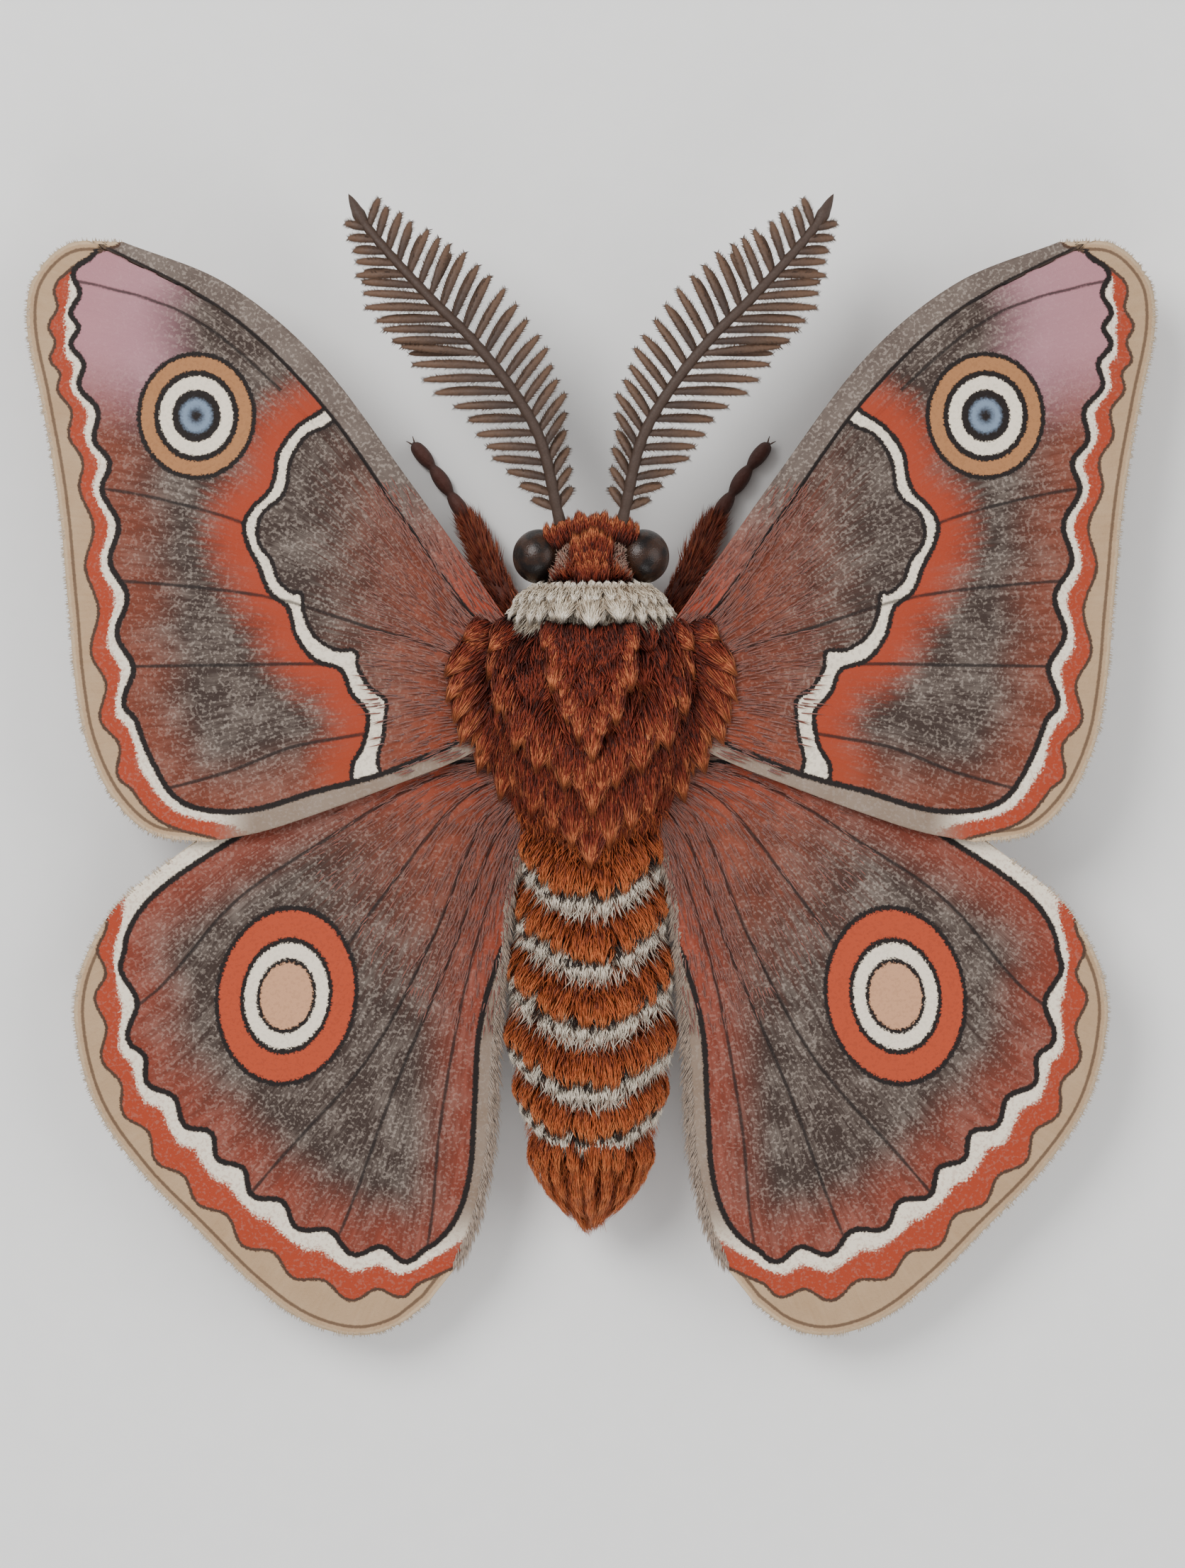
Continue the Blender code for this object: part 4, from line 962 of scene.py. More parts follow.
finishedPair("eye", "cornea", ballMesh(64, 40, eyePlace), eyeLook())


# antennae: a jointed shaft with two rows of ciliated branches a side

antenna = {
    "shaft": [(3.3, 29.5, 17), (4.3, 33.1, 18.6), (6.6, 42.7, 20.6), (10.3, 49.3, 21.4), (15.6, 55.9, 21.6),
              (21.6, 61.9, 21.2), (29.4, 70.8, 19.8), (31.9, 75.3, 19)],
    "radius": (0.72, 0.58), "joints": 23, "span": (0.085, 0.90), "drop": 1.2, "rise": (0.30, -0.75),
    # length of the branches from the base to the tip, and their degrees from straight ahead
    "inner": ([3.8, 5.2, 6.5, 7.2, 7.9, 8.4, 7.3, 5.8, 4.4], [-30, -31, -33, -36, -32, -22, -21, -18, -18]),
    "outer": ([3.7, 6.8, 8.3, 10.4, 11.4, 10.8, 8.5, 5.6, 3.2], [64, 84, 92, 90, 88, 88, 86, 84, 76]),
    "branch": 0.42, "flatness": 2.9, "cilia": (10.5, 5.0), "ciliaLength": 1.40, "ciliaSize": (0.17, 0.09),
}
branchTuft = tuftTemplate([0.08, 0.25, 0.5, 0.75, 0.90, 0.97], 6)


def antennaMesh():
    shaft = Curve(antenna["shaft"])
    low, high = antenna["span"]

    def radius(share):
        beads = 1 + 0.10 * np.abs(np.sin(np.pi * antenna["joints"] * share))
        leaf = 1 + 0.45 * smoothStep(0.90, 0.955, share)
        point = np.clip((1 - share) / 0.055, 0, 1)**0.75
        return mixed(*antenna["radius"], share) * beads * leaf * point * (1 + 0.5 * smoothStep(0.07, 0.0, share))

    tube = tubeMesh(shaft, radius, 12, 200)
    moveMap(tube, (0.01, 0.01), (0.06, 0.99))
    t = np.linspace(0, 1, antenna["joints"])
    knots = np.linspace(0, 1, 9)
    rows = []
    for side, (reaches, turns) in ((-1, antenna["inner"]), (1, antenna["outer"])):
        for row in (0, 1):
            place = low + (high - low) * np.clip(t + row * 0.12 / antenna["joints"], 0, 1)
            reach = smoothRows(knots, np.array(reaches)[:, None], t)[:, 0] * (1.0 - 0.10 * row)
            turn = np.radians(smoothRows(knots, np.array(turns, float)[:, None], t)[:, 0])
            rows.append((np.full(len(t), side), place, reach, np.full(len(t), row), turn))
    side, place, reach, row, turn = [np.concatenate(part) for part in zip(*rows)]
    reach = reach * rng.uniform(0.95, 1.04, len(reach))
    root, along = shaft.at(place), shaft.along(place)
    turn = turn + rng.normal(0, 0.035, len(turn))
    heading = np.stack([np.sin(turn), np.cos(turn), np.zeros(len(turn))], -1)
    rise = np.where(row == 0, *antenna["rise"])[:, None]
    tip = root + heading * reach[:, None] + upward * (rise - antenna["drop"])
    bend = root + (heading + along * 0.06) * (reach * 0.52)[:, None] + upward * (rise + 0.45)
    branch = bowed(root, bend, tip)
    wild = rng.random(len(reach))
    flat = np.stack([0.10 + 0.88 * (np.arange(len(place)) % 17) / 16, 0.02 + 0.96 * place], -1)
    thick = np.full(len(reach), antenna["branch"])
    leaves = tuftMesh(branchTuft, branch, upward, thick * antenna["flatness"], thick, {"wild": wild}, flat,
                      leafShape)
    each = (np.array(antenna["cilia"])[row] * reach).astype(int)
    n = each.sum()
    which = np.repeat(np.arange(len(reach)), each)
    at = np.concatenate([np.linspace(0.04, 0.985, count) for count in each]) + rng.uniform(-0.012, 0.012, n)
    flip = np.where(np.arange(n) % 2 == 0, 1, -1)
    pick = bowed(root[which], bend[which], tip[which])
    at = at[:, None]
    start = pick(at)
    way = unit(pick(at + 0.02) - pick(at - 0.02))
    out = unit(np.cross(way, upward)) * flip[:, None]
    full = np.sin(np.pi * np.clip(0.22 + 0.66 * at, 0, 1))**0.7
    size = antenna["ciliaLength"] * rng.uniform(0.75, 1.1, n)[:, None] * full
    end = start + (out * 0.66 + way * 0.74 + upward * rng.uniform(-0.25, 0.35, n)[:, None]) * size
    hair = bowed(start, (start + end) / 2 + way * 0.08 * size, end)
    width, depth = [np.full(n, value) for value in antenna["ciliaSize"]]
    cilia = tuftMesh(hairTuft, hair, upward, width, depth, {"wild": rng.random(n)}, flat[which])
    addAttribute(tube, "wild", np.full(len(tube.vertices), 0.3))
    addAttribute(tube, "share", np.zeros(len(tube.vertices)))
    return joined([tube, leaves, cilia])


def antennaLook():
    look = Look("antenna", 0.6)
    place = look.place()
    tone = look.mix(look.attribute("wild") * 0.7, (0.040, 0.020, 0.012), (0.105, 0.052, 0.027))
    tone = look.mix(look.attribute("share").step(0.2, 1.0) * 0.6, tone, (0.18, 0.088, 0.042))
    grain = look.noise(place, 0.25, 2.0, 0.6)
    look.set("Base Color", look.mix(grain * 0.7, tone, look.shade(tone, 0.3)))
    look.set("Roughness", 0.50 + grain * 0.3)
    look.bump(grain, 0.06)
    return look


finishedPair("antenna", "plume", antennaMesh(), antennaLook())
print("eyes and antennae made")


# coat: hairs laid along the skin, and locks of hairs that draw together at their tips

lockHair = {"share": (0.36, 0.62), "uneven": (0.94, 1.02), "sunk": 0.35, "raised": 0.18, "drawn": 0.80}


def furMarks(n, given):
    # what the coat's look reads at every hair: where it runs along its lock, how pale, dark or wild it is, and how
    # near its lock's side it lies, where shade is painted
    marks = {"pale": 0.0, "dark": 0.0, "wild": rng.random(n), "from": 0.0, "to": 0.7, "edge": 0.0, **given}
    return {name: np.broadcast_to(value, n) for name, value in marks.items()}


def bodyTufts(y, angle, length, lift, width, way=-1.0, sway=0.12, **marks):
    # single tufts that follow the body's surface towards the tail, or the head where way is 1
    n = len(y)
    turn = rng.normal(0, 1, n) * sway
    long = length * rng.uniform(0.75, 1.15, n)
    rise = lift * rng.uniform(0.6, 1.3, n)
    root = body.at(y, angle, -skinDepth)
    bend = body.at(y + way * long * 0.5, angle + turn * 0.4, rise * 0.9)
    tip = body.at(y + way * long, angle + turn, rise)
    pale, dark = coatMarks(y, angle)
    found = furMarks(n, {"pale": pale, "dark": dark, **marks})
    return tuftMesh(hairTuft, bowed(root, bend, tip), body.normal(y, angle), width * rng.uniform(0.75, 1.2, n),
                    width * 0.45 * np.ones(n), found, unwrapped(y, angle))


def lockTufts(roots, bends, tips, ups, widths, hairs, width=0.30, crown=0.7, start=(0.0, 0.62), taper=2.2,
              blunt=0.015, loose=0.10, pinch=0.0, even=False, **marks):
    # locks: each is a bundle of hairs round a middle line, drawn together at its tip unless it is blunt,
    # and at its root where it has a pinch; an even one has no painted shade along its edges
    n = len(roots) * hairs
    k = np.repeat(np.arange(len(roots)), hairs)
    first, last, up = roots[k], tips[k], ups[k]
    middleLine = bowed(first, bends[k], last)
    u = np.clip(rng.normal(0, 0.5, n), -1, 1)
    layer = rng.random(n)
    low = rng.uniform(*start, n)
    high = np.minimum(low + rng.uniform(*lockHair["share"], n), 1.0) * rng.uniform(*lockHair["uneven"], n)
    side = unit(np.cross(unit(last - first), up))
    half, pinch = widths[k] / 2, np.broadcast_to(pinch, len(roots))[k]

    def place(s, pull):
        # where a hair runs in its lock at a share of the lock's length
        shape = (1 - (1 - blunt) * np.clip(s, 0, 1)**taper) * pull * (1 - pinch * smoothStep(0.32, 0.0, s))
        spread = side * (u * half * shape)[:, None] + up * (crown * layer * (1 - u**2) * shape)[:, None]
        return middleLine(s[:, None]) + spread

    root = place(low, 1.0) - up * lockHair["sunk"]
    middle = place((low + high) / 2, 1.05) + up * lockHair["raised"]
    tip = place(high, mixed(lockHair["drawn"], 1.0, blunt)) + rng.normal(0, loose, (n, 3))
    bend = 2 * middle - (root + tip) / 2
    angle = np.arctan2(first[:, 2] - body.axis(np.clip(root[:, 1], *bodyEnds)), root[:, 0])
    # edge: how far a hair lies from its lock's middle; the coat look darkens the outer hairs as painted shade
    # between the locks
    marks.update({"from": low, "to": high, "edge": np.abs(u) * (1 - blunt)})
    if even:
        marks.update({"from": low * 0.5, "to": high * 0.55, "edge": 0.0})
    found = furMarks(n, marks)
    return tuftMesh(hairTuft, bowed(root, bend, tip), up, width * rng.uniform(0.75, 1.25, n),
                    width * 0.5 * np.ones(n), found, unwrapped(root[:, 1], angle))


def scattered(fur):
    # even random places on a stretch of the body
    return rng.uniform(*fur["span"], fur["count"]), rng.uniform(-np.pi, np.pi, fur["count"])


def looseFur(fur, **marks):
    # single tufts all over a stretch of the body, with their lift on the back and at the sides
    y, angle = scattered(fur)
    return bodyTufts(y, angle, fur["length"], mixed(*fur["lift"], np.cos(angle)**2), fur["width"], sway=fur["sway"],
                     **marks)


# the back of the thorax: tiers of locks that fan from the neck, over a coat of hairs

tiers = [  # tips of the right side, from the shoulder to the point behind
    {"tips": [(16.9, 16.7), (19.4, 11.7), (19.2, 8.3), (18.3, 5.3), (17.3, 2.6), (15.1, -1.2), (12.3, -4.8),
              (8.0, -7.6), (5.2, -9.2), (2.5, -11.0), (0.0, -13.4)],
     "length": 8.6, "width": 4.6, "lift": 0.9, "more": 100, "fill": 60, "deep": (0.66, 0.93)},
    {"tips": [(13.6, 14.9), (13.5, 11.1), (12.5, 6.4), (10.1, 1.8), (6.9, -1.2), (3.5, -3.4), (1.3, -4.6),
              (0.0, -6.7)],
     "length": 8.0, "width": 4.8, "lift": 1.8, "more": 90, "fill": 48, "deep": (0.40, 0.84)},
    {"tips": [(5.9, 14.5), (5.3, 9.6), (3.2, 5.2), (1.5, 2.9), (0.0, 0.2)],
     "length": 7.5, "width": 3.8, "lift": 2.6, "more": 90, "fill": 48, "deep": (0.30, 0.80)},
]
fan = {"center": np.array([0.0, 22.0]), "collar": 19.2, "hairs": 220, "innerHairs": 84, "inner": (6.5, 5.2)}
thoraxFur = {"count": 11500, "span": (-6.5, 18.0), "length": 3.8, "lift": (1.0, 1.0), "width": 0.32, "sway": 0.10}


def fanLocks(lift, tips, length, width, hairs, **more):
    # locks of a tier: they flow from the neck and bend towards the tail, over whatever lies beneath
    outward = unit(tips - fan["center"])
    shoulder = smoothStep(5, 15, tips[:, 1:]) * smoothStep(12, 15, np.abs(tips[:, :1]))
    flow = unit(outward * (0.55 + 0.25 * shoulder) + (0.0, -0.45) * (1 - 0.5 * shoulder))
    room = np.clip((fan["collar"] - tips[:, 1]) / -flow[:, 1], 3.5, length)  # roots stay behind the collar
    width = width * mixed(0.75, 1.0, room / length)
    roots = tips - flow * room[:, None]
    middle = (roots + tips) / 2 + (outward - flow) * 0.8
    onWing = np.abs(roots[:, 0]) > 10.2
    rootZ = np.where(onWing, restsOn(*roots.T) - 0.2, np.maximum(body.top(*roots.T), 12.0) - 0.5)
    crest = np.maximum(restsOn(*middle.T), restsOn(*tips.T)) + lift * 1.15
    tipZ = restsOn(*tips.T) + lift * 0.75
    ups = unit(lifted(middle * (0.03, 0.0), np.ones(len(tips))))
    bends = lifted(middle, np.maximum(2 * crest - (rootZ + tipZ) / 2 - 0.4, crest))
    return lockTufts(lifted(roots, rootZ), bends, lifted(tips, tipZ), ups, width, hairs, width=0.26,
                     pinch=onWing * 0.6, **more)


def tierLocks(tier):
    # the locks at the drawn tips, others between them, and shorter ones inside
    line, lift = Curve(tier["tips"]), tier["lift"]
    size = lambda value: value * rng.uniform(0.92, 1.10, len(tips))
    right = np.array(tier["tips"][:-1])
    tips = np.concatenate([right, right * (-1, 1), [tier["tips"][-1]]])
    tips = tips + rng.normal(0, 0.12, tips.shape)
    parts = [fanLocks(lift, tips, size(tier["length"]), size(tier["width"]), fan["hairs"])]
    right = np.concatenate([line.at(line.knots[:-1] + np.diff(line.knots) * part) for part in (0.33, 0.67)])
    tips = fan["center"] + (np.concatenate([right, right * (-1, 1)]) - fan["center"]) * 0.955
    parts.append(fanLocks(lift - 0.3, tips, size(tier["length"]), size(tier["width"] * 0.85), tier["more"]))
    n = tier["fill"]
    deep = rng.uniform(*tier["deep"], n)[:, None]
    tips = line.at(rng.random(n)) * np.stack([rng.choice((-1, 1), n), np.ones(n)], -1)
    tips = fan["center"] + (tips - fan["center"]) * deep
    tips = tips[tips[:, 1] < 14.5]
    length, width = [size(value) for value in fan["inner"]]
    parts.append(fanLocks(lift - 0.35, tips, length, width, fan["innerHairs"], even=True))
    return parts


# each coat's colors from root to tip; the dark root colors are partly the hairs' own color and partly painted shade
# under the hairs lying over them
coatColors = {
    "thorax": {"root": (0.040, 0.006, 0.003), "mid": (0.19, 0.024, 0.008), "tip": (0.50, 0.155, 0.055)},
    "collar": {"root": (0.20, 0.13, 0.08), "mid": (0.62, 0.52, 0.39), "tip": (0.84, 0.77, 0.66)},
    "abdomen": {"root": (0.12, 0.020, 0.007), "mid": (0.36, 0.075, 0.018), "tip": (0.50, 0.150, 0.045)},
    "legs": {"root": (0.06, 0.010, 0.006), "mid": (0.20, 0.035, 0.014), "tip": (0.36, 0.10, 0.04)},
}
paleFur = (0.76, 0.67, 0.54)
darkFur = (0.020, 0.011, 0.008)


def coatLook(name, tones):
    look = Look(name, 0.62, Specular_IOR_Level=0.3)
    share, wild = look.attribute("share"), look.attribute("wild")
    low, high = look.attribute("from"), look.attribute("to")
    place = look.place()
    along = low + (high - low) * share
    blotch = look.noise(place, 3.0, 2.0, 0.5) - 0.5
    t = along + (wild - 0.5) * 0.60 + blotch * 0.5
    tone = look.mix(t.step(0.0, 0.55), tones["root"], tones["mid"])
    tone = look.mix(t.step(0.50, 1.05), tone, tones["tip"])
    # painted shade: hairs along a lock's sides take the root color, so dark gaps part the locks
    tone = look.mix(look.attribute("edge").step(0.40, 1.0) * 0.6, tone, tones["root"])
    # pale hairs take the middle color towards their roots, partly their own color and partly painted shade
    pale = look.mix(t.step(-0.1, 0.45), tones["mid"], look.mix(wild * 0.5, paleFur, look.shade(paleFur, 0.62)))
    tone = look.mix(look.attribute("pale"), tone, pale)
    # the abdomen's black bars, and on the leg fur painted shade near the floor
    tone = look.mix(look.attribute("dark"), tone, darkFur)
    # painted shade: every hair is darker near its root, where the hairs lying over it cover it
    tone = look.mix((1 - share.step(0.0, 0.40)) * 0.5, tone, look.shade(tone, 0.35))
    look.set("Base Color", tone)
    look.set("Roughness", 0.50 + wild * 0.25)
    look.bump(look.noise(place, 0.12, 1.0, 0.5), 0.02, 0.5)
    return look


thoraxLook = coatLook("thoraxFur", coatColors["thorax"])
tierMeshes = [tierLocks(tier) for tier in tiers]
finished("thorax_locks_outer", joined(tierMeshes[0]), thoraxLook)
finished("thorax_locks_inner", joined(tierMeshes[1] + tierMeshes[2]), thoraxLook)
finished("thorax_fur", looseFur(thoraxFur), thoraxLook)
print("thorax coat made")


# collar: a pale ruff of two rows of locks that point back, three larger ones on top and a short row in front

def ringLocks(rootY, tipY, angles, lift, widths, hairs, **more):
    # locks round the body, from rootY to tipY
    n = len(angles)
    rootY, tipY, lift, widths = [np.broadcast_to(value, n) * 1.0 for value in (rootY, tipY, lift, widths)]
    roots = body.at(rootY, angles, -0.6)
    tips = body.at(np.clip(tipY, *bodyEnds), angles, lift)
    tips[:, 1] = tipY
    bends = body.at(mixed(rootY, tipY, 0.5), angles, lift * 1.25 + 0.4)
    ups = body.normal(mixed(rootY, tipY, 0.4), angles)
    return lockTufts(roots, bends, tips, ups, widths, hairs, **more)


def uneven(middle, by, count):
    return middle + rng.uniform(-by, by, count)


collarFur = {"count": 5200, "span": (19.4, 24.2), "length": 2.6, "lift": (1.2, 1.2), "width": 0.24, "sway": 0.12}
collarLook = coatLook("collarFur", coatColors["collar"])
back, front = [np.radians(uneven(np.linspace(-60, 240, n), 2, n)) for n in (29, 35)]
crest = np.radians([67.0, 90.0, 113.0])
collarParts = [
    ringLocks(23.2, uneven(18.6, 0.3, 29), back, lift=1.5, widths=2.9, hairs=150, width=0.22),
    ringLocks(24.2, uneven(20.9, 0.3, 29), back + 0.08, lift=1.6, widths=2.6, hairs=110, width=0.22),
    ringLocks(23.4, (18.6, 17.7, 18.6), crest, lift=2.3, widths=4.6, hairs=340, width=0.24),
    ringLocks(22.4, uneven(24.4, 0.2, 35), front, lift=1.0, widths=2.0, hairs=70, width=0.22),
]
finished("collar_ruff", joined(collarParts), collarLook)
finished("collar_fur", looseFur(collarFur, pale=0.0), collarLook)


# head: a crest over the brow, short fur round the eyes and on the face

headLook = coatLook("headFur", coatColors["thorax"])
browRows = [  # locks over the forehead: their tips, their height and how far back they root
    {"tips": [(-5.9, 32.3), (-4.6, 33.0), (-3.0, 32.9), (-1.4, 33.9), (0.0, 33.2), (1.3, 33.9), (3.0, 32.9),
              (4.6, 33.0), (5.9, 32.3)], "z": (17.0, 19.0), "back": 4.2, "count": 15, "hairs": 120},
    {"tips": [(-5.0, 31.4), (0.0, 32.6), (5.0, 31.4)], "z": (14.4, 16.4), "back": 3.2, "count": 11, "hairs": 110},
    {"tips": [(-4.6, 31.0), (0.0, 32.2), (4.6, 31.0)], "z": (11.6, 12.8), "back": 3.0, "count": 9, "hairs": 100},
    {"tips": [(-2.6, 30.6), (0.0, 31.6), (2.6, 30.6)], "z": (19.4, 20.4), "back": 4.6, "count": 9, "hairs": 110},
    {"tips": [(-2.2, 28.6), (0.0, 29.2), (2.2, 28.6)], "z": (20.2, 20.9), "back": 4.2, "count": 7, "hairs": 90},
    {"tips": [(-2.0, 26.8), (0.0, 27.2), (2.0, 26.8)], "z": (20.6, 21.2), "back": 3.6, "count": 6, "hairs": 90},
]


def browLocks(row):
    count = row["count"]
    at = np.linspace(0, 1, count) + rng.uniform(-0.01, 0.01, count)
    plan = Curve(row["tips"]).at(at) + rng.normal(0, 0.18, (count, 2))
    middle = np.clip(1 - np.abs(plan[:, 0] / 6.5)**2 + rng.normal(0, 0.12, count), 0, 1)
    tips = lifted(plan, mixed(*row["z"], middle))
    roots = tips * (0.60, 1.0, 1.0) - (0.0, row["back"], 0.0)
    turn = np.arctan2(roots[:, 2] - body.axis(roots[:, 1]), roots[:, 0])
    roots = body.at(roots[:, 1], turn, -0.4)
    ups = unit(body.normal(roots[:, 1], turn) + (0.0, 0.25, 0.35))
    bends = (roots + tips) / 2 + ups * 0.9
    return lockTufts(roots, bends, tips, ups, np.full(count, 2.1), row["hairs"], width=0.19, blunt=0.12,
                     loose=0.14)


faceFur = {"count": 6500, "span": (24.0, 31.4), "width": 0.20}
y, angle = scattered(faceFur)
place, above = body.at(y, angle, 0.3), np.sin(angle) >= 0
beside, ahead = np.abs(place[:, 0]), place[:, 1]
keep = ~above | (np.hypot((beside - 7.2) / 2.5, (ahead - 27.6) / 3.3) > 1.1)
for side in (-1, 1):
    keep &= np.linalg.norm((place - np.array(eye["center"]) * (side, 1, 1)) / eye["half"], axis=1) > 1.12
ridge = above & (np.hypot((beside - 6.0) / 3.3, (ahead - 27.7) / 3.7) < 1)
headParts = [browLocks(row) for row in browRows]
for part, long, lift, pale in ((keep & ~ridge, 1.8, 0.6, 0.0), (keep & ridge, 1.0, 0.25, 0.36)):
    headParts.append(bodyTufts(y[part], angle[part], long, lift, faceFur["width"], way=1.0, pale=pale))


rim = {"count": 1300, "depth": (-0.95, -0.60), "length": (0.7, 1.2), "width": 0.20, "thickness": 0.12,
       "way": np.array([-0.60, 0.0, 0.0]), "pale": 0.55}


def eyeRim():
    # a crescent of short pale-brown hairs round the inner side of each eye
    n = rim["count"]
    turn = rng.uniform(-np.pi, np.pi, n)
    depth = rng.uniform(*rim["depth"], n)
    ring = np.sqrt(1 - depth**2) * 1.04
    half = np.array(eye["half"])
    root = np.array(eye["center"]) + np.stack([depth, ring * np.cos(turn), ring * np.sin(turn)], -1) * half
    out = unit(np.stack([-0.1 * np.ones(n), np.cos(turn), np.sin(turn)], -1))
    root = root - out * 0.3
    long = rng.uniform(*rim["length"], n)[:, None]
    tip = root + (rim["way"] + out * 0.62) * long + rng.normal(0, 0.06, (n, 3))
    bend = (root + tip) / 2 + out * 0.12
    marks = furMarks(n, {"pale": rim["pale"], "from": 0.2, "to": 0.9})
    uv = unwrapped(root[:, 1], np.arctan2(root[:, 2] - 15, root[:, 0]))
    return tuftMesh(hairTuft, bowed(root, bend, tip), out, np.full(n, rim["width"]), np.full(n, rim["thickness"]),
                    marks, uv)


def tubeTufts(curve, radius, count, length, lift, width, span=(0.0, 1.0), column=(0.0, 1.0), sink=0.3):
    # fur on a leg or palp, lying towards its end
    share = rng.uniform(*span, count)
    angle = rng.uniform(-np.pi, np.pi, count)
    along = curve.along(share)
    across = unit(np.cross(along, upward))
    up = np.cross(across, along)
    out = across * np.cos(angle)[:, None] + up * np.sin(angle)[:, None]
    long = (length * rng.uniform(0.7, 1.2, count) * mixed(1.0, 0.55, share))[:, None]
    root = curve.at(share) + out * (radius(share) - sink)[:, None]
    tip = root + along * long + out * (lift * rng.uniform(0.5, 1.4, count) * mixed(1.0, 0.3, share))[:, None]
    bend = (root + tip) / 2 + out * (0.2 + sink * 0.5)
    floor = lambda p: np.concatenate([p[:, :2], np.maximum(p[:, 2:], 0.12)], 1)
    root, bend, tip = floor(root), floor(bend), floor(tip)
    # painted shade: leg fur is darker within a few millimetres of the floor
    found = furMarks(count, {"dark": smoothStep(3.5, 1.0, root[:, 2]) * 0.7, "from": 0.1, "to": 0.9})
    uv = np.stack([mixed(*column, (angle + np.pi) / (2 * np.pi)), 0.02 + 0.96 * share], -1)
    return tuftMesh(hairTuft, bowed(root, bend, tip), out, width * rng.uniform(0.75, 1.2, count),
                    np.full(count, width * 0.5), found, uv)


for part in (eyeRim(), tubeTufts(palpCurve, palpRadius, count=700, length=1.3, lift=0.4, width=0.22)):
    headParts += [part, mirrored(part)]
finished("head_fur", joined(headParts), headLook)
print("collar and head made")


# abdomen: short fur with five pale fringes, each edged dark, and a tail tuft

tailRows = [  # place of the tips, how far they stand out, locks and hairs in each
    (-54.3, 2.0, 22, 60), (-56.4, 1.9, 18, 56), (-58.3, 1.8, 16, 64), (-60.4, 1.7, 12, 70), (-62.0, 0.3, 7, 90)]
abdomenFur = {"count": 13500, "span": (-59.5, -5.0), "length": 2.6, "lift": (0.8, 1.7), "width": 0.26,
              "sway": 0.12}


def ringAngles(count, by):
    return 2 * np.pi * (np.arange(count) + rng.uniform(-by, by, count)) / count + np.pi / 2


def sideLift(angles, low, high):
    return mixed(low, high, np.cos(angles)**2 * (np.sin(angles) > -0.75))


abdomenLook = coatLook("abdomenFur", coatColors["abdomen"])
ringParts, fringeParts = [], []
count, fringe = 26, {"taper": 3.0, "loose": 0.16}
for backY, sideY in bandRows:
    angles = ringAngles(count, 0.28) + rng.uniform(0, 0.2)
    tipY = uneven(mixed(sideY, backY, np.maximum(np.sin(angles), 0)**1.5), 0.35, count)
    girth = body.reach(np.full(count, (backY + sideY) / 2 + 3), angles)
    lift, size = sideLift(angles, 1.0, 1.7), rng.uniform(0.85, 1.25, count)
    ringParts += [
        ringLocks(tipY + 7.6, tipY + 1.9 * size, angles, lift, girth * 0.40 * size, hairs=70, width=0.26,
                  crown=0.45, blunt=0.38, **fringe),
        ringLocks(tipY + 4.6, tipY + 1.3, angles + 0.11, lift * 0.85, girth * 0.36, hairs=26, width=0.24,
                  crown=0.3, blunt=0.6, dark=1.0, **fringe)]
    fringeParts.append(ringLocks(tipY + 4.4, tipY, angles + 0.02, lift * 0.75, girth * 0.38, hairs=64,
                                 width=0.20, crown=0.35, blunt=0.5, pale=1.0, start=(0.0, 0.6), **fringe))
for tipY, out, count, hairs in tailRows:
    angles = ringAngles(count, 0.3)
    girth = body.reach(np.full(count, max(tipY, -57.0)), angles)
    fringeParts.append(ringLocks(tipY + 6.6, uneven(tipY, 0.5, count), angles, sideLift(angles, out * 0.8, out),
                                 np.maximum(girth * 0.46, 2.0), hairs, width=0.25, crown=0.45, blunt=0.30,
                                 loose=0.26))
finished("abdomen_locks", joined(ringParts), abdomenLook)
finished("abdomen_fringes", joined(fringeParts), abdomenLook)
finished("abdomen_fur", looseFur(abdomenFur), abdomenLook)
print("abdomen coat made")


# legs: shaggy to the foot, with claws and spurs

legFur = {"front": 1700, "middle": 1200, "hind": 1200, "foot": 380, "width": 0.24}
legsLook = coatLook("legFur", coatColors["legs"])
legParts = []
for k, (name, leg) in enumerate(legShapes.items()):
    rows = [  # the leg, its foot and the shin's longer fur: span, hairs, length and lift
        ((0.0, leg.footAt), legFur[name], 2.9, 1.15), ((leg.footAt, 0.97), legFur["foot"], 0.7, 0.12),
        ((leg.footAt - 0.26, leg.footAt - 0.03), legFur[name] // 4, 4.4, 1.9)]
    for span, count, length, lift in rows:
        part = tubeTufts(leg.curve, leg.radius, count, length, lift, legFur["width"], span,
                         column=(k / 6, (k + 1) / 6))
        other = mirrored(part)
        moveMap(other, (0.5, 0.0), (1.5, 1.0))
        legParts += [part, other]
finished("leg_fur", joined(legParts), legsLook)

horn = tuftTemplate([0.2, 0.4, 0.6, 0.8], 6)
claw = {"apart": 0.16, "size": 0.26, "spur": 0.22, "floor": 0.14}


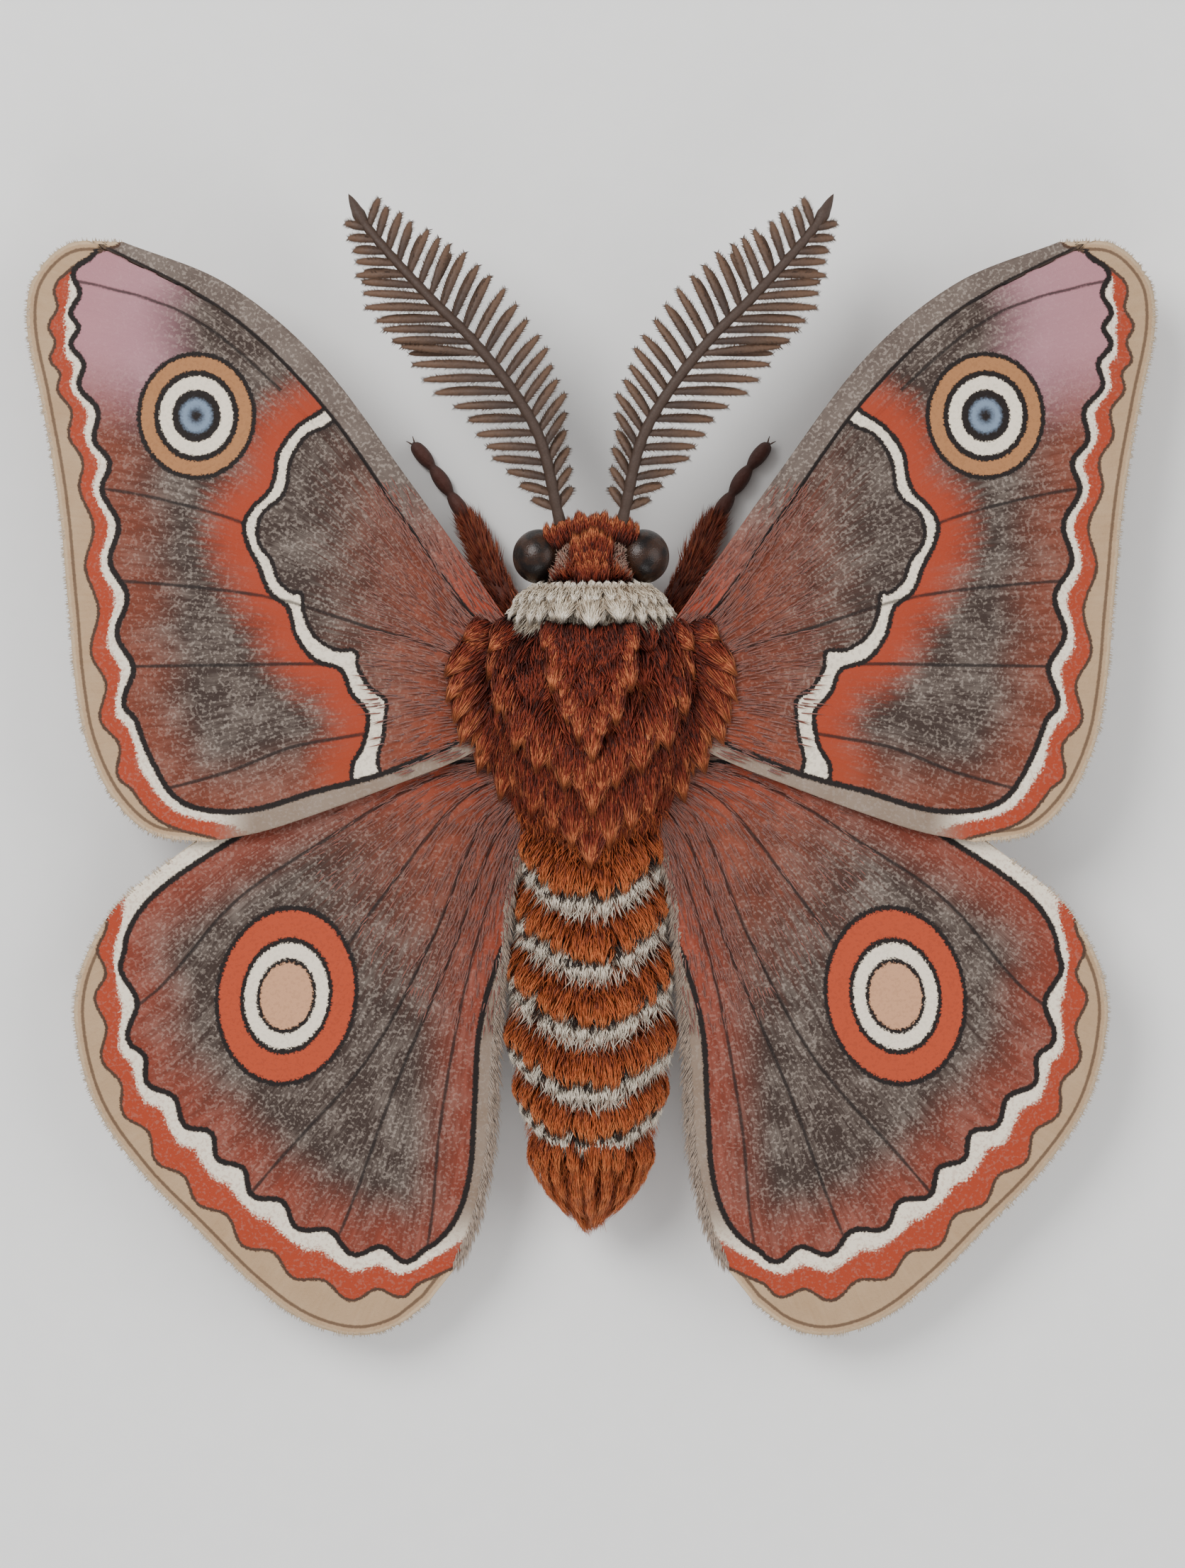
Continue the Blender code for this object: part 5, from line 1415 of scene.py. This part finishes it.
def clawMesh():
    # two curved claws at each foot, and a pair of spurs on each shin
    rows = []
    for leg in legShapes.values():
        ends = np.array([1.0, leg.footAt - 0.03])
        (end, shin), (way, down) = leg.curve.at(ends), leg.curve.along(ends)
        across = unit(np.cross(way, upward))
        for side in (-1, 1):
            aside = across * side
            root = end + aside * claw["apart"]
            rows.append((root - way * 0.25, root + way * 0.55 + aside * 0.35 + upward * 0.22,
                         root + way * 0.75 + aside * 0.42 - upward * 0.42, claw["size"]))
            root = shin + aside * leg.radius(ends)[1] * 0.6
            rows.append((root, root + down * 0.8 + aside * 0.35, root + down * 1.7 + aside * 0.45,
                         claw["spur"]))
    root, bend, tip, size = [np.array(part, float) for part in zip(*rows)]
    for part in (root, bend, tip):
        part[:, 2] = np.maximum(part[:, 2], claw["floor"])
    uv = np.tile(np.linspace(0.05, 0.95, len(size))[:, None], 2)
    return tuftMesh(horn, bowed(root, bend, tip), upward, size, size, {"wild": rng.random(len(size))}, uv)


def clawLook():
    look = Look("claw", 0.3, Coat_Weight=0.2)
    grain = look.noise(look.place(), 0.3, 2.0, 0.5)
    tone = look.attribute("share") * 0.7 + grain * 0.3
    look.set("Base Color", look.mix(tone, (0.10, 0.045, 0.022), (0.018, 0.010, 0.008)))
    look.set("Roughness", 0.22 + grain * 0.2)
    look.bump(grain, 0.02)
    return look


rightClaws = clawMesh()
finished("claws", joined([rightClaws, mirrored(rightClaws)]), clawLook())
print("legs made")


# wing trim: fringe scales round the margins, and long hairs at the roots and along the inner edges

trim = {  # the hairs' number or step, their length, width and thickness, and the kind that their color reads
    "margin": {"step": 0.16, "length": (0.30, 0.62), "size": (0.24, 0.10), "kind": 0.0},
    "root": {"count": 2000, "length": (2.0, 4.0), "size": (0.26, 0.12), "kind": 1.0,
             "reach": {"forewing": 0.34, "hindwing": 0.42}},
    "inner": {"count": 1500, "length": (0.9, 2.2), "size": (0.22, 0.10), "kind": 0.5},
}


def trimHairs(values, root, bend, tip, up):
    n = len(root)
    marks = {"wild": rng.random(n), "kind": np.full(n, values["kind"])}
    width, thickness = [np.full(n, size) for size in values["size"]]
    place = 0.02 + 0.96 * np.clip((root[:, :2] - (5.0, -78.0)) / (72.0, 150.0), 0, 1)
    return tuftMesh(hairTuft, bowed(root, bend, tip), up, width, thickness, marks, place)


def marginFringe(plan, values):
    margin = Curve(plan["margin"], 900)
    n = round(margin.length / values["step"])
    at = np.sort(rng.uniform(0.0, 1.0, n))
    edge, way = margin.at(at), margin.along(at)
    out = unit(np.stack([-way[:, 1], way[:, 0]], -1))
    tip = edge + out * rng.uniform(*values["length"], n)[:, None] + way * rng.normal(0.12, 0.10, n)[:, None]
    z = plan["height"](*edge.T) + rng.uniform(-0.10, 0.12, n)
    low, high = lifted(edge - out * 0.35, z), lifted(tip, z + rng.uniform(-0.12, 0.05, n))
    return trimHairs(values, low, (low + high) / 2, high, upward)


def rootHairs(name, plan, values):
    # hairs on the base of the wing, above and below, as far as a share of its lines
    lines, n = wingLines[name], values["count"]
    t, r = rng.random(n), rng.random(n)**1.6 * values["reach"][name]
    k = t * (len(lines) - 1)
    a = np.minimum(k.astype(int), len(lines) - 2)
    v = (k - a)[:, None]

    def places(share):
        stack = np.array([line.at(share) for line in lines])
        return stack[a, np.arange(n)] * (1 - v) + stack[a + 1, np.arange(n)] * v

    here = places(r)
    flow = unit(places(r + 0.04) - here)
    side = np.where(rng.random(n) < 0.65, 1.0, -1.0)
    long = rng.uniform(*values["length"], n) * (1 - r)
    end = here + flow * long[:, None] + rng.normal(0, 0.2, (n, 2))
    rise = rng.uniform(0.25, 0.75, n) * (1 - 1.3 * r)
    root = lifted(here, plan["height"](*here.T) + side * 0.12)
    tip = lifted(end, plan["height"](*end.T) + side * (0.22 + rise))
    up = upward * side[:, None]
    return trimHairs(values, root, (root + tip) / 2 + up * 0.3, tip, up)


def innerHairs(line, plan, values):
    # hairs along the hindwing's inner edge
    n = values["count"]
    s = rng.uniform(0.05, 0.9, n)
    here, way = line.at(s), line.along(s)
    inward = unit(np.stack([way[:, 1], -way[:, 0]], -1))
    root = lifted(here - inward * rng.uniform(0.1, 1.2, n)[:, None], plan["height"](*here.T))
    reach = rng.uniform(*values["length"], n)[:, None]
    tip = root + lifted((inward * 0.55 + way) * reach, rng.uniform(0.1, 0.5, n))
    return trimHairs(values, root, (root + tip) / 2 + upward * 0.35, tip, upward)


def trimLook():
    look = Look("wingHair", 0.7, Sheen_Weight=0.25)
    kind, wild, share = look.attribute("kind"), look.attribute("wild"), look.attribute("share")
    tone = look.mix(kind.step(0.1, 0.4), (0.56, 0.43, 0.30), (0.36, 0.27, 0.20))
    tone = look.mix(kind.step(0.6, 0.9), tone, (0.20, 0.035, 0.013))
    tone = look.mix(wild * 0.6, tone, look.shade(tone, 0.45))
    look.set("Base Color", look.mix(share * 0.30, tone, look.mix(kind, (0.55, 0.42, 0.28), (0.32, 0.11, 0.05))))
    look.set("Roughness", 0.6 + wild * 0.2)
    look.bump(look.noise(look.place(), 0.12, 1.0, 0.5), 0.02, 0.5)
    return look


trimFinish = trimLook()
for name, plan in wingPlans.items():
    parts = [marginFringe(plan, trim["margin"]), rootHairs(name, plan, trim["root"])]
    if name == "hindwing":
        parts.append(innerHairs(wingLines[name][-1], plan, trim["inner"]))
    finishedPair(name, "fringe", joined(parts), trimFinish, False)
print("wing trim made")


# floor, soft light and a camera straight above, as in the picture

stage = {
    # each lamp's place in metres, size and power
    "lamps": {"key": ((-0.45, 0.40, 0.75), 0.55, 9.0), "fill": ((0.65, 0.10, 0.55), 0.8, 4.0),
              "back": ((0.05, -0.75, 0.5), 0.6, 3.0)},
    "floor": 2.5, "sky": (0.95, 0.97, 1.0, 1.0), "strength": 0.55, "lens": 100.0,
    "camera": (0.0002, -0.00226, 0.591),
}


def studio():
    bm = bmesh.new()
    bmesh.ops.create_grid(bm, x_segments=40, y_segments=40, size=stage["floor"])
    floor = toMesh(bm)
    look = Look("floor", 0.85)
    grain = look.noise(look.place(), 4.0, 3.0, 0.5)
    look.set("Base Color", look.mix(grain, (0.80, 0.79, 0.77), (0.84, 0.83, 0.81)))
    look.set("Roughness", 0.8 + grain * 0.1)
    floor.materials.append(look.material)
    placed("floor", floor)
    for name, (place, size, power) in stage["lamps"].items():
        light = bpy.data.lights.new(name, "AREA")
        light.shape, light.size, light.energy = "DISK", size, power
        lamp = placed(name, light)
        lamp.location = place
        lamp.rotation_euler = (-Vector(place)).to_track_quat("-Z", "Y").to_euler()
    world = bpy.data.worlds.new("sky")
    world.use_nodes = True
    color, strength = world.node_tree.nodes["Background"].inputs[:2]
    color.default_value, strength.default_value = stage["sky"], stage["strength"]
    bpy.context.scene.world = world
    camera = bpy.data.cameras.new("camera")
    camera.lens, camera.clip_start = stage["lens"], 0.01
    bpy.context.scene.camera = placed("camera", camera)
    bpy.context.scene.camera.location = stage["camera"]


studio()
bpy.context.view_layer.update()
total = sum(len(p.vertices) - 2 for o in bpy.data.objects if o.type == "MESH" and not o.hide_render
            for p in o.data.polygons)
print("triangles in all", total)
